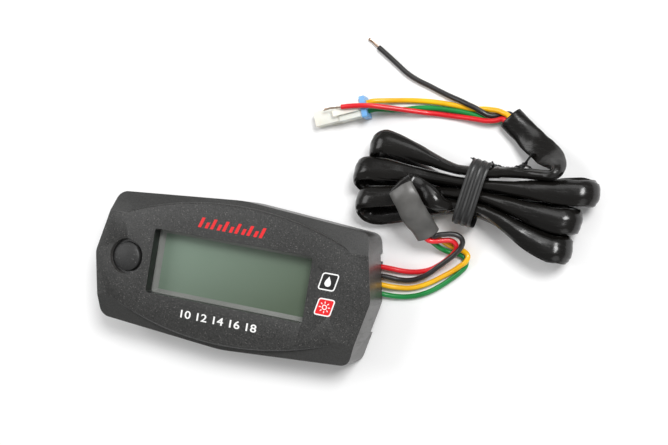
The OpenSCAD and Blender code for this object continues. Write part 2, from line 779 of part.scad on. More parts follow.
// Route of the sheath's far tail, from the hank round its pinched fold to its open mouth
far_tail_points = [
  [74.9, 41.7, 9.2], [78.2, 41.9, 9.7], [81.2, 42.1, 10.2], [83.4, 42.2, 10.7], [85.2, 42.3, 11.1],
  [86.4, 42.9, 11.2], [86.9, 44, 10.8], [86.5, 45.4, 9.7], [85.2, 46.7, 8.3], [83.4, 48, 6.8],
  [81.3, 49.4, 5.4], [79.1, 50.9, 4.3], [77, 52.4, 3.6], [75, 53.9, 3.1], [72.9, 55.5, 2.8],
  [70.9, 57.1, 2.6]
];
far_tail_angles = [90, 92, 94, 96, 100, 112, 135, 165, 190, 205, 213, 218, 221, 223, 224, 225, 226];
far_flat_shares = [0, 0, 0, 0, 0, 0, 0.05, 0.2, 0.5, 0.8, 1, 1, 1, 1, 1, 1, 1];
far_tail_route = concat([hank_route[hank_ring_count]], far_tail_points);

// Half size along a tail: open at its mouth, then flat, then drawn in
function tail_size(steps, share, mouth, plain, waist) =
  steps < 4 ? mix(mouth, plain, ease(steps / 4)) : mix(waist, plain, share);

module sheath_tail(route, angles, shares, from_mouth) {
  last = len(route) - 1;
  heads = headings(route);
  square = from_mouth ? concat([for (i = [0:last - 1]) heads[i]], [[1, 0, 0]])
    : concat([[1, 0, 0]], [for (i = [1:last]) heads[i]]);
  steps = [for (i = [0:last]) from_mouth ? i : last - i];
  skin(sweep_points(route, square, set_widths(square, angles),
    [for (i = [0:last]) tail_size(steps[i], shares[i], mouth_a, tail_a, waist_a)],
    [for (i = [0:last]) tail_size(steps[i], shares[i], mouth_b, tail_b, waist_b)], tail_sides),
    last + 1, tail_sides);
}

module sheath_near_tail() color("#3a3938") at_lead()
  sheath_tail(near_tail_route, near_tail_angles, near_flat_shares, true);

module sheath_far_tail() color("#1c1b1a") at_lead()
  sheath_tail(far_tail_route, far_tail_angles, far_flat_shares, false);

// Tie
function squared(v) = sign(v) * pow(abs(v), tie_square_share);
tie_ring_count = tie_turns * tie_rings;
tie_across = [cos(tie_turn), sin(tie_turn), 0];
tie_along = [sin(tie_turn), -cos(tie_turn), 0];
tie_route = [for (i = [0:tie_ring_count])
  let (g = -360 * i / tie_rings)
  [tie_x, tie_y, tie_z] + tie_across * tie_reach * squared(cos(g)) + [0, 0, tie_rise * squared(sin(g))]
    + tie_along * tie_pitch * (i / tie_rings - tie_turns / 2)];
tie_points = concat(tie_route, tie_end_points);

module twist_tie() color("#161616") at_lead() {
  heads = headings(tie_points);
  ends = len(tie_points) - 1;
  widths = [for (i = [0:ends]) let (
      side = i > tie_ring_count ? [0, 0, 1] : tie_along,
      w = unit(side - heads[i] * (side * heads[i])),
      g = tie_twist * max(0, i - tie_ring_count - 2)
    ) w * cos(g) + cross(heads[i], w) * sin(g)];
  skin(sweep_points(tie_points, heads, widths, [for (p = tie_points) tie_a],
    [for (p = tie_points) tie_b], 4, 45), ends + 1, 4);
}

// Wires
// Places of the four wires in a mouth, across it and up it
mouth_across = 0.95;
mouth_up = 0.85;
mouth_lead = 0.9;
function mouth_place(centre, head, angle, across, up) = let (
    w = set_widths([head], [angle])[0],
    lift = cross(head, w)
  ) centre + w * across * mouth_across - lift * up * mouth_up;

near_mouth_head = headings(near_tail_route)[0];
far_mouth_head = -headings(far_tail_route)[len(far_tail_route) - 1];
function near_mouth(across, up) =
  mouth_place(near_tail_points[0], near_mouth_head, near_tail_angles[0], across, up);
function far_mouth(across, up) = mouth_place(far_tail_points[len(far_tail_points) - 1], far_mouth_head,
  far_tail_angles[len(far_tail_angles) - 1], across, up);

// A wire from the grommet along its chosen points into the near mouth
function near_route(lane, points, across, up) = concat(
  [for (x = [0, wire_d]) [plan_out_x + x, wire_ys[lane], wire_z]], points,
  [near_mouth(across, up) - near_mouth_head * mouth_lead, near_mouth(across, up)]);

// A wire from the far mouth along its chosen points
function far_route(points, across, up) = concat(
  [far_mouth(across, up), far_mouth(across, up) - far_mouth_head * mouth_lead], points);

near_red_points = [
  [44.5, 9.6, 1.7], [47, 9.5, 1.2], [50, 9.7, 0.9], [53, 10.4, 0.8], [55.3, 11.4, 0.9], [57.4, 12.9, 1.3],
  [59.6, 14.9, 2.2], [61.3, 16.9, 2.9], [62.1, 18.5, 3.7], [61.8, 19.8, 4.5], [60.5, 20.5, 5.2],
  [58.8, 20.3, 5.7], [57, 19.8, 6.2], [55.3, 19.5, 6.6]
];
near_black_points = [
  [44.5, 7, 1.6], [47, 6.9, 1.2], [50, 7.3, 1.3], [53, 8.6, 1.9], [55.4, 10.3, 2.6], [57.6, 12.4, 3.3],
  [60.1, 14.8, 4.1], [62.5, 17.4, 4.8], [63.8, 19.6, 5.4], [63.8, 21.2, 6], [62.6, 22.2, 6.5],
  [60.8, 22.4, 6.9], [58.9, 22, 7.2], [57.1, 21.5, 7.4]
];
near_yellow_points = [
  [44.5, 4.5, 1.6], [47, 4.6, 1.1], [50, 5, 0.8], [53, 6.1, 0.8], [56, 7.8, 0.8], [59, 10, 0.8],
  [61.6, 12, 1.1], [63.7, 13.9, 1.9], [65.2, 15.5, 2.5], [65.4, 17, 2.4], [64, 18.1, 2], [62, 18.5, 2],
  [60.4, 18.9, 2.3], [58.8, 19.5, 3.1], [57.4, 20.2, 4.2], [56.2, 20.8, 5.2]
];
near_green_points = [
  [44.5, 1.9, 1.5], [47, 2, 1], [50, 2.5, 0.8], [53, 3.5, 0.8], [56, 5.1, 0.8], [58.8, 7.2, 0.8],
  [61.4, 9.6, 0.8], [63.8, 12.2, 0.8], [65, 14.4, 0.8], [64.4, 16.2, 0.8], [62.2, 17, 0.9],
  [59.6, 17.2, 1.6], [57.4, 17.9, 2.9], [55.8, 18.9, 4.3]
];
far_red_points = [
  [67, 55.7, 2.8], [64.4, 55.3, 2.4], [61.2, 55.4, 2], [57.6, 55.5, 1.4], [54, 55.5, 0.9], [50, 55.5, 0.8],
  [47, 55.4, 1.2], [44.4, 55.3, 2.2], [41, 55.2, 3.2], [37.6, 55.1, 4.3], [34.2, 55, 5.4], [31, 54.8, 6.3],
  [28.2, 54.4, 6.7], [25.4, 53.9, 6.7], [22.7, 53.3, 6.5]
];
far_black_points = [
  [69, 58, 1.6], [67.2, 57.4, 1.5], [64.7, 57, 1.9], [62.6, 57.7, 2.3], [60.6, 58.5, 2.4],
  [58.4, 59.2, 2.3], [56, 60, 1.8],
  [52.6, 61, 1.1], [49.2, 62.1, 0.8], [45.8, 63.3, 0.8], [42.2, 64.5, 0.8], [39, 66, 0.8], [36, 68, 0.8],
  [33.2, 69.9, 0.8], [30.9, 71.4, 0.8], [29.2, 72.5, 0.8]
];
far_yellow_points = [
  [69, 58, 3.3], [67.4, 58.5, 2.7], [64.6, 58.7, 1.6], [62.9, 58.7, 0.9], [60.1, 58.3, 0.8],
  [56.5, 58.5, 0.8],
  [52.9, 58.7, 0.8], [48, 58.8, 0.8], [44, 58.6, 0.8], [40, 58.2, 0.8], [36.6, 57.7, 1], [33.6, 57.2, 1.7]
];
far_green_points = [
  [67.3, 55.8, 0.9], [64.6, 55.5, 0.8], [61.2, 56.5, 0.8], [57.2, 57, 0.8], [53, 57.1, 0.8], [48, 57, 0.8],
  [44, 56.5, 0.8], [40.5, 55.7, 0.8], [37, 55, 0.9], [34, 54.7, 1.6]
];

// Where a wire meets the plug's lock, on the side of the terminal that it belongs to
function plug_place(side, back) = [
  plug_x + back * -cos(plug_turn) - side * terminal_pitch / 2 * sin(plug_turn) * -1,
  plug_y + back * -sin(plug_turn) - side * terminal_pitch / 2 * cos(plug_turn),
  plug_z
];

module near_wire_red() color("#e6142a") at_lead()
  round_tube(near_route(3, near_red_points, -1, 1), wire_r, wire_sides);
module near_wire_black() color("#2a2a2a") at_lead()
  round_tube(near_route(2, near_black_points, 1, 1), wire_r, wire_sides);
module near_wire_yellow() color("#f6bc14") at_lead()
  round_tube(near_route(1, near_yellow_points, 1, -1), wire_r, wire_sides);
module near_wire_green() color("#0c8a42") at_lead()
  round_tube(near_route(0, near_green_points, -1, -1), wire_r, wire_sides);

module far_wire_red() color("#e6142a") at_lead()
  round_tube(far_route(far_red_points, 1.85, 0.65), wire_r, wire_sides);
module far_wire_black() color("#2a2a2a") at_lead()
  round_tube(far_route(far_black_points, -0.6, -0.65), wire_r, wire_sides);
module far_wire_yellow() color("#f6bc14") at_lead() round_tube(
  concat(far_route(far_yellow_points, 0.1, 1.1), [plug_place(1, plug_lead), plug_place(1, 0)]),
  wire_r, wire_sides);
module far_wire_green() color("#0c8a42") at_lead() round_tube(
  concat(far_route(far_green_points, 1.7, -1.25), [plug_place(-1, plug_lead), plug_place(-1, 0)]),
  wire_r, wire_sides);

red_strand_points =
  [[22.7, 53.3, 6.5], [21.2, 52.9, 6.4], [19.6, 52.6, 6.4], [18.4, 52.2, 6.2], [17.4, 51.9, 6.1]];
black_strand_points =
  [[29.2, 72.5, 0.8], [28.2, 73.1, 0.7], [27.2, 73.8, 0.6], [26.3, 74.3, 0.5], [25.6, 74.7, 0.5]];
module red_strands() color("#c08a5c") at_lead() round_tube(red_strand_points, strand_r, strand_sides);
module black_strands() color("#c08a5c") at_lead() round_tube(black_strand_points, strand_r, strand_sides);

// Plug
module at_plug() {
  translate([plug_x + lead_shift, plug_y, plug_z]) rotate(plug_turn) children();
}

module plug_lock() color("#78aadc") at_plug() difference() {
  translate([lock_l, 0, 0]) rotate([0, -90, 0]) rounded_plate(lock_h, lock_w, lock_l, lock_r);
  for (side = [-1, 1]) translate([lock_l / 2, side * terminal_pitch / 2, 0]) rotate([0, 90, 0])
    cylinder(r = wire_r - snug, h = lock_l);
}

module plug_housing() color("#f4f2ea") at_plug() difference() {
  union() {
    translate([lock_l, -housing_w / 2, -lock_h / 2]) cube([housing_l, housing_w, housing_h]);
    translate([lock_l + housing_l - weld, -nose_w / 2, -lock_h / 2]) cube([nose_l + weld, nose_w, nose_h]);
    translate([lock_l + latch_gap, -latch_w / 2, housing_h - lock_h / 2 - weld])
      cube([key_w * 3, latch_w, latch_gap + latch_t + weld]);
    translate([lock_l + latch_gap, -latch_w / 2, housing_h - lock_h / 2 + latch_gap])
      cube([latch_l, latch_w, latch_t]);
    for (side = [-1, 1]) translate([lock_l + housing_l - weld, side * nose_w / 2 - key_w / 2, -lock_h / 2])
      cube([nose_l / 2, key_w, key_w]);
  }
  for (side = [-1, 1]) translate([0, side * terminal_pitch / 2, 0])
    translate([lock_l - cut, -terminal_w / 2 - snug, -terminal_w / 2 - snug])
      cube([housing_l + nose_l + 2 * cut, terminal_w + 2 * snug, terminal_w + 2 * snug]);
}

module plug_terminals() color("#d2c08a") at_plug() for (side = [-1, 1])
  translate([lock_l + terminal_wall, side * terminal_pitch / 2, 0]) difference() {
    translate([0, -terminal_w / 2, -terminal_w / 2]) cube([terminal_l, terminal_w, terminal_w]);
    translate([terminal_w, -terminal_w / 2 + terminal_wall, -terminal_w / 2 + terminal_wall])
      cube([terminal_l, terminal_w - 2 * terminal_wall, terminal_w - 2 * terminal_wall]);
  }

front_bezel();
rear_cover();
window_lens();
display_frame();
display_front_glass();
display_rear_glass();
backlight_diffuser();
backlight_lamps();
contact_strips();
circuit_board();
micro_chip();
voltage_regulator();
smoothing_capacitor();
button_cap();
switch_body();
switch_plunger();
case_seal();
case_screws();
adhesive_pad();
upper_label();
lower_label();
wire_grommet();
inner_leads();
solder_joints();
near_wire_red();
near_wire_black();
near_wire_yellow();
near_wire_green();
sheath_near_tail();
sheath_hank();
sheath_far_tail();
twist_tie();
far_wire_red();
far_wire_black();
far_wire_yellow();
far_wire_green();
red_strands();
black_strands();
plug_housing();
plug_lock();
plug_terminals();
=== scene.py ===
import math

import bmesh
import bpy
from mathutils import Matrix, Vector, noise


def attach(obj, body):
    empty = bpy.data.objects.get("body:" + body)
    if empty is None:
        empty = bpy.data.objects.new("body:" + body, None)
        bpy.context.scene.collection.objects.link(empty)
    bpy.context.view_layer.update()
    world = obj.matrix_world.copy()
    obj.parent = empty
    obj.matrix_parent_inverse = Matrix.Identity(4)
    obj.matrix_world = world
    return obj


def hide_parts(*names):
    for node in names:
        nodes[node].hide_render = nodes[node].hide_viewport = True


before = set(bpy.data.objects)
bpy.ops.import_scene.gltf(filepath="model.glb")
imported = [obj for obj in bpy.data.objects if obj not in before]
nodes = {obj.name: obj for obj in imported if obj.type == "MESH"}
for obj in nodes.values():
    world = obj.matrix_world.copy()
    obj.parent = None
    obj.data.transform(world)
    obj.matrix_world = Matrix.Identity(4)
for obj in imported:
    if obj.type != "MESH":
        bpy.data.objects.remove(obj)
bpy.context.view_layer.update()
mm = 0.001
print("frame loaded:", len(nodes), "nodes")


# Shared steps
def deselectAll():
    if bpy.context.object and bpy.context.object.mode != "OBJECT":
        bpy.ops.object.mode_set(mode="OBJECT")
    bpy.ops.object.select_all(action="DESELECT")


def makeActive(piece):
    deselectAll()
    piece.select_set(True)
    bpy.context.view_layer.objects.active = piece


def applyModifiers(piece):
    makeActive(piece)
    for modifier in list(piece.modifiers):
        bpy.ops.object.modifier_apply(modifier=modifier.name)


def settle(piece, name, material, body="housing", angle=30):
    piece.name = name
    piece.data.name = name
    makeActive(piece)
    bpy.ops.object.transform_apply(location=True, rotation=True, scale=True)  # its place goes into the mesh
    if angle:
        bpy.ops.object.shade_smooth_by_angle(angle=math.radians(angle))
    piece.data.materials.clear()
    piece.data.materials.append(material)
    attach(piece, body)
    deselectAll()


def addObject(name, data):
    piece = bpy.data.objects.new(name, data)
    bpy.context.scene.collection.objects.link(piece)
    return piece


def squareTo(side, heading):  # the part of a direction that lies square to another
    return (side - heading * side.dot(heading)).normalized()


# Camera
camera = {
    "place": (120.75, 26.51, 306.37),
    "right": (0.9400, 0.1622, -0.3001),
    "forward": (-0.3008, -0.0206, -0.9535),
    "lens": 58.74,
    "sensor": 36,
    "clip": (0.01, 20),
}


def placeCamera():
    data = bpy.data.cameras.new("camera")
    data.sensor_width = camera["sensor"]
    data.lens = camera["lens"]
    data.clip_start, data.clip_end = camera["clip"]
    back = -Vector(camera["forward"]).normalized()
    right = squareTo(Vector(camera["right"]), back)
    turn = Matrix((right, back.cross(right), back)).transposed().to_4x4()
    eye = addObject("camera", data)
    eye.matrix_world = Matrix.Translation(Vector(camera["place"]) * mm) @ turn
    bpy.context.scene.camera = eye


placeCamera()
print("camera placed")

# Node groups
effects = {
    "fineNoise": (2.0, 0.6),  # detail and roughness of a noise
    "slowNoise": (3.0, 0.5),
    "streakNoise": (4.0, 0.65),
    "streakTurn": 0.6,
    "streaksShow": (0.52, 0.72),  # a range of the noise that is spread from 0 to 1
    "toneShows": (0.3, 0.7),
    "grainShows": (0.35, 0.65, 0.2, 1.7),  # the same, spread from its third number to its fourth
    "fleckReach": 0.42,
    "usual": {"grain": 2500.0, "patch": 60.0, "marks": 120.0},
}


def nodeGroup(name, inputs, outputs):  # reads a place and some numbers
    group = bpy.data.node_groups.new(name, "ShaderNodeTree")
    group.interface.new_socket(name="Vector", in_out="INPUT", socket_type="NodeSocketVector")
    for label, value in inputs.items():
        socket = group.interface.new_socket(name=label, in_out="INPUT", socket_type="NodeSocketFloat")
        socket.default_value = value
    for label in outputs:
        group.interface.new_socket(name=label, in_out="OUTPUT", socket_type="NodeSocketFloat")
    return group, group.nodes.new("NodeGroupInput").outputs, group.nodes.new("NodeGroupOutput").inputs


def addNode(tree, kind, **values):
    made = tree.nodes.new(kind)
    for key, value in values.items():
        setattr(made, key, value)
    return made


def feed(tree, value, socket):  # a link where the value comes from another node
    if isinstance(value, bpy.types.NodeSocket):
        tree.links.new(value, socket)
    else:
        socket.default_value = value


def addMath(tree, operation, first, second):
    made = addNode(tree, "ShaderNodeMath", operation=operation)
    feed(tree, first, made.inputs[0])
    feed(tree, second, made.inputs[1])
    return made.outputs[0]


def addMix(tree, factor, first, second, blend="MIX"):
    made = addNode(tree, "ShaderNodeMix", data_type="RGBA", blend_type=blend)
    feed(tree, factor, made.inputs["Factor"])
    feed(tree, first, made.inputs[6])
    feed(tree, second, made.inputs[7])
    return made.outputs[2]


def addRange(tree, value, low, high, toLow=0.0, toHigh=1.0):
    made = addNode(tree, "ShaderNodeMapRange")
    tree.links.new(value, made.inputs["Value"])
    for label, end in (("From Min", low), ("From Max", high), ("To Min", toLow), ("To Max", toHigh)):
        made.inputs[label].default_value = end
    return made.outputs["Result"]


def addNoise(tree, vector, scale, detail, roughness):
    made = addNode(tree, "ShaderNodeTexNoise")
    tree.links.new(vector, made.inputs["Vector"])
    tree.links.new(scale, made.inputs["Scale"])
    made.inputs["Detail"].default_value = detail
    made.inputs["Roughness"].default_value = roughness
    return made.outputs["Fac"]


def addGroup(tree, group, place, **values):
    made = addNode(tree, "ShaderNodeGroup", node_tree=group)
    tree.links.new(place, made.inputs["Vector"])
    for label, value in values.items():
        made.inputs[label].default_value = value
    return made.outputs


def makeGrainGroup():  # moulded grain: a height, and a tone that wanders slowly over the piece
    group, start, end = nodeGroup("mouldedGrain", {"Grain": 2500.0, "Patch": 60.0}, ("Height", "Tone"))
    fine = addNoise(group, start["Vector"], start["Grain"], *effects["fineNoise"])
    slow = addNoise(group, start["Vector"], start["Patch"], *effects["slowNoise"])
    group.links.new(fine, end["Height"])
    group.links.new(slow, end["Tone"])
    return group


def makeFleckGroup():  # bright flecks laid in a dark moulding
    group, start, end = nodeGroup("brightFlecks", {"Scale": 3800.0, "Amount": 0.2}, ("Mask",))
    cells = addNode(group, "ShaderNodeTexVoronoi")
    group.links.new(start["Vector"], cells.inputs["Vector"])
    group.links.new(start["Scale"], cells.inputs["Scale"])
    split = addNode(group, "ShaderNodeSeparateColor")
    group.links.new(cells.outputs["Color"], split.inputs["Color"])
    limit = addMath(group, "SUBTRACT", 1.0, start["Amount"])
    lit = addMath(group, "GREATER_THAN", split.outputs[0], limit)
    near = addMath(group, "LESS_THAN", cells.outputs["Distance"], effects["fleckReach"])
    strength = addMath(group, "MULTIPLY", lit, split.outputs[1])
    group.links.new(addMath(group, "MULTIPLY", strength, near), end["Mask"])
    return group


def makeWearGroup():  # handling marks: faint long scratches and smears
    group, start, end = nodeGroup("handlingMarks", {"Scale": 120.0, "Stretch": 6.0}, ("Marks",))
    size = addNode(group, "ShaderNodeCombineXYZ")
    size.inputs["X"].default_value = 1.0
    group.links.new(start["Stretch"], size.inputs["Y"])
    size.inputs["Z"].default_value = 1.0
    mapping = addNode(group, "ShaderNodeMapping")
    group.links.new(start["Vector"], mapping.inputs["Vector"])
    mapping.inputs["Rotation"].default_value = (0.0, 0.0, effects["streakTurn"])
    group.links.new(size.outputs[0], mapping.inputs["Scale"])
    streaks = addNoise(group, mapping.outputs["Vector"], start["Scale"], *effects["streakNoise"])
    group.links.new(addRange(group, streaks, *effects["streaksShow"]), end["Marks"])
    return group


grainGroup = makeGrainGroup()
fleckGroup = makeFleckGroup()
wearGroup = makeWearGroup()


# Materials
def makeMaterial(name, given):
    settings = {**effects["usual"], **given}
    material = bpy.data.materials.new(name)
    material.use_nodes = True
    tree = material.node_tree
    shader = tree.nodes["Principled BSDF"]
    for label, value in settings.get("shader", {}).items():
        shader.inputs[label].default_value = value
    place = addNode(tree, "ShaderNodeTexCoord").outputs["Object"]
    grain = addGroup(tree, grainGroup, place, Grain=settings["grain"], Patch=settings["patch"])
    tone = grain["Tone"]
    if "paintedLightSlope" in settings:  # painted light and shade: the tone goes over from light on one side of the piece to dark on the other
        slope = addNode(tree, "ShaderNodeVectorMath", operation="DOT_PRODUCT")
        tree.links.new(place, slope.inputs[0])
        slope.inputs[1].default_value = settings["paintedLightSlope"]
        tone = addMath(tree, "ADD", slope.outputs["Value"], 0.5)
    tone = addRange(tree, tone, *effects["toneShows"])
    colour = addMix(tree, tone, (*settings["dark"], 1.0), (*settings["light"], 1.0))
    if "speckle" in settings:  # grain that shows in the colour too
        spread = addRange(tree, grain["Height"], *effects["grainShows"])
        colour = addMix(tree, settings["speckle"], colour, spread, "MULTIPLY")
    if "flecks" in settings:
        scale, amount, bright = settings["flecks"]
        flecks = addGroup(tree, fleckGroup, place, Scale=scale, Amount=amount)
        colour = addMix(tree, flecks["Mask"], colour, (*bright, 1.0))
    tree.links.new(colour, shader.inputs["Base Color"])
    marks = addGroup(tree, wearGroup, place, Scale=settings["marks"])
    rough = addRange(tree, marks["Marks"], 0.0, 1.0, *settings["rough"])
    tree.links.new(rough, shader.inputs["Roughness"])
    if "bump" in settings:
        bump = addNode(tree, "ShaderNodeBump")
        bump.inputs["Strength"].default_value, bump.inputs["Distance"].default_value = settings["bump"]
        tree.links.new(grain["Height"], bump.inputs["Height"])
        tree.links.new(bump.outputs["Normal"], shader.inputs["Normal"])
    return material


# dark and light are the ends of the tone, flecks are scale, amount and colour, bump is strength and depth
plastics = {
    "faceCharcoal": {"dark": (0.02, 0.02, 0.019), "light": (0.029, 0.029, 0.028), "rough": (0.42, 0.5),
        "grain": 3400.0, "patch": 30.0, "speckle": 0.75, "flecks": (3300.0, 0.16, (0.13, 0.125, 0.12)),
        "bump": (0.35, 0.0001)},
    "padCharcoal": {"dark": (0.034, 0.034, 0.033), "light": (0.042, 0.042, 0.041), "rough": (0.36, 0.46),
        "grain": 3000.0, "patch": 40.0, "speckle": 0.35, "bump": (0.15, 0.00006)},
    "sideCharcoal": {"dark": (0.05, 0.048, 0.046), "light": (0.065, 0.062, 0.06), "rough": (0.34, 0.44),
        "grain": 1800.0, "patch": 50.0, "speckle": 0.3, "bump": (0.12, 0.00006)},
    # a much darker finish for the walls of the window and button recesses: painted shade
    "recessShade": {"dark": (0.006, 0.006, 0.006), "light": (0.01, 0.01, 0.01), "rough": (0.3, 0.4),
        "bump": (0.1, 0.00005)},
    "buttonRubber": {"dark": (0.014, 0.014, 0.014), "light": (0.02, 0.02, 0.02), "rough": (0.5, 0.6),
        "grain": 3600.0, "speckle": 0.4, "flecks": (2600.0, 0.05, (0.12, 0.12, 0.12)),
        "bump": (0.3, 0.00008)},
    "coverBlack": {"dark": (0.018, 0.018, 0.018), "light": (0.026, 0.026, 0.026), "rough": (0.45, 0.55),
        "grain": 2200.0, "speckle": 0.3, "bump": (0.3, 0.0001)},
    "frameGrey": {"dark": (0.3, 0.31, 0.29), "light": (0.4, 0.41, 0.39), "rough": (0.35, 0.45),
        "bump": (0.1, 0.00005)},
    # the display's tone slope is painted light: lighter towards the west and north edges, darker towards the
    # east and south
    "displayGreen": {"dark": (0.135, 0.19, 0.125), "light": (0.29, 0.4, 0.31), "rough": (0.42, 0.46),
        "paintedLightSlope": (-8.0, 9.0, 0.0)},
    "displayBack": {"dark": (0.1, 0.14, 0.1), "light": (0.12, 0.16, 0.12), "rough": (0.2, 0.3)},
    "milkyWhite": {"dark": (0.75, 0.75, 0.7), "light": (0.85, 0.85, 0.82), "rough": (0.4, 0.5),
        "bump": (0.1, 0.00005)},
    "contactRubber": {"dark": (0.03, 0.03, 0.04), "light": (0.08, 0.08, 0.1), "rough": (0.5, 0.6),
        "bump": (0.2, 0.0001)},
    "boardGreen": {"dark": (0.01, 0.08, 0.03), "light": (0.016, 0.12, 0.045), "rough": (0.3, 0.4),
        "grain": 900.0, "speckle": 0.4, "bump": (0.1, 0.00006)},
    "chipBlack": {"dark": (0.012, 0.012, 0.012), "light": (0.02, 0.02, 0.02), "rough": (0.5, 0.6),
        "bump": (0.3, 0.0001)},
    "sealBlack": {"dark": (0.01, 0.01, 0.01), "light": (0.016, 0.016, 0.016), "rough": (0.5, 0.65),
        "bump": (0.3, 0.0001)},
    "plungerTan": {"dark": (0.45, 0.36, 0.2), "light": (0.55, 0.45, 0.27), "rough": (0.35, 0.45),
        "bump": (0.1, 0.00005)},
    "padFoam": {"dark": (0.6, 0.6, 0.56), "light": (0.75, 0.75, 0.7), "rough": (0.8, 0.9), "grain": 1500.0,
        "speckle": 0.15, "bump": (0.6, 0.0003)},
    "printWhite": {"dark": (0.78, 0.78, 0.77), "light": (0.88, 0.88, 0.87), "rough": (0.35, 0.45),
        "bump": (0.1, 0.00003)},
    "printBlack": {"dark": (0.01, 0.01, 0.01), "light": (0.015, 0.015, 0.015), "rough": (0.3, 0.4),
        "bump": (0.1, 0.00003)},
    "printRed": {"dark": (0.66, 0.008, 0.012), "light": (0.78, 0.012, 0.018), "rough": (0.35, 0.45),
        "bump": (0.1, 0.00003)},
    "wireRed": {"dark": (0.62, 0.005, 0.012), "light": (0.8, 0.012, 0.02), "rough": (0.3, 0.42),
        "patch": 120.0, "bump": (0.15, 0.00005), "shader": {"Subsurface Weight": 0.05, "Coat Weight": 0.15}},
    "wireBlack": {"dark": (0.012, 0.011, 0.011), "light": (0.022, 0.02, 0.02), "rough": (0.32, 0.45),
        "patch": 120.0, "bump": (0.15, 0.00005), "shader": {"Coat Weight": 0.15}},
    "wireYellow": {"dark": (0.85, 0.4, 0.003), "light": (0.98, 0.55, 0.005), "rough": (0.3, 0.42),
        "patch": 120.0, "bump": (0.15, 0.00005), "shader": {"Subsurface Weight": 0.05, "Coat Weight": 0.15}},
    "wireGreen": {"dark": (0.002, 0.18, 0.035), "light": (0.004, 0.27, 0.055), "rough": (0.3, 0.42),
        "patch": 120.0, "bump": (0.15, 0.00005), "shader": {"Coat Weight": 0.15}},
    "tieBlack": {"dark": (0.01, 0.01, 0.01), "light": (0.018, 0.018, 0.018), "rough": (0.38, 0.5),
        "bump": (0.3, 0.0001)},
    "plugNylon": {"dark": (0.8, 0.76, 0.64), "light": (0.9, 0.87, 0.78), "rough": (0.35, 0.45),
        "bump": (0.12, 0.00006), "shader": {"Subsurface Weight": 0.15}},
    "lockBlue": {"dark": (0.13, 0.34, 0.68), "light": (0.18, 0.44, 0.8), "rough": (0.35, 0.45),
        "bump": (0.12, 0.00006), "shader": {"Subsurface Weight": 0.1}},
    "sheathBlack": {"dark": (0.004, 0.0036, 0.0032), "light": (0.009, 0.008, 0.007), "rough": (0.22, 0.36),
        "grain": 700.0, "patch": 55.0, "marks": 260.0, "bump": (0.12, 0.0003),
        "shader": {"Specular IOR Level": 0.36, "Coat Weight": 0.12, "Coat Roughness": 0.16}},
    # a lighter, rougher copy of the sheath's black: its light colour is a painted sheen on the near leg
    "sheathPaintedSheen": {"dark": (0.055, 0.054, 0.051), "light": (0.115, 0.112, 0.107), "rough": (0.36, 0.5),
        "grain": 700.0, "patch": 130.0, "marks": 180.0, "bump": (0.1, 0.0003),
        "shader": {"Specular IOR Level": 0.5}},
    "clearWindow": {"dark": (0.02, 0.024, 0.02), "light": (0.03, 0.034, 0.03), "rough": (0.1, 0.12),
        "shader": {"Alpha": 0.14, "Coat Weight": 0.4, "Coat Roughness": 0.08}},
}
metals = {
    "screwSteel": {"dark": (0.5, 0.5, 0.5), "light": (0.62, 0.62, 0.62), "rough": (0.25, 0.4)},
    "canAluminium": {"dark": (0.6, 0.6, 0.62), "light": (0.72, 0.72, 0.74), "rough": (0.25, 0.35)},
    "bareCopper": {"dark": (0.5, 0.36, 0.27), "light": (0.66, 0.54, 0.45), "rough": (0.3, 0.45),
        "patch": 900.0},
    "solderTin": {"dark": (0.55, 0.55, 0.56), "light": (0.7, 0.7, 0.7), "rough": (0.25, 0.35)},
    "terminalBrass": {"dark": (0.55, 0.46, 0.26), "light": (0.72, 0.62, 0.36), "rough": (0.25, 0.35)},
}
finish = {name: makeMaterial(name, settings) for name, settings in plastics.items()}
for name, settings in metals.items():
    finish[name] = makeMaterial(name, {**settings, "bump": (0.1, 0.00003), "shader": {"Metallic": 1.0}})
print("materials made:", len(finish))


# Softened copies of solids whose shape is right: a merged copy gets small rounded edges
def softenedCopy(nodeName, width, segments, angle):
    source = nodes[nodeName]
    piece = source.copy()
    piece.data = source.data.copy()
    piece.parent = None
    for key in list(piece.keys()):
        if key.startswith("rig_"):
            del piece[key]
    bpy.context.scene.collection.objects.link(piece)
    makeActive(piece)
    bpy.ops.object.mode_set(mode="EDIT")
    bpy.ops.mesh.select_all(action="SELECT")
    bpy.ops.mesh.remove_doubles(threshold=1e-6)
    bpy.ops.mesh.dissolve_limited(angle_limit=math.radians(1.0))  # only what lies flat
    bpy.ops.object.mode_set(mode="OBJECT")
    piece.data.validate()
    edge = piece.modifiers.new("edges", "BEVEL")
    edge.width = width * mm
    edge.segments = segments
    edge.limit_method = "ANGLE"
    edge.angle_limit = math.radians(angle)
    applyModifiers(piece)
    return piece


# Bezel: its finish is chosen by place
bezel = {
    "edgeWidth": 0.22,
    "edgeSegments": 2,
    "edgeAngle": 24,
    "window": (-25.4, 25.0, -9.7, 10.1),  # west, east, south and north
    "windowTop": 15.7,
    "buttonWell": (-33.0, 5.25, 14.2),  # middle, radius and floor
    "facingUp": 0.6,
    "faceFrom": 15.4,
    "creaseHeight": 12.7,
    "arcTop": 20.3,
    "arcRadius": 92.0,
    "arcSlack": 0.1,
    "padsFrom": 10.0,
    "rimTo": 12.0,
    "facingBack": 0.9,
}


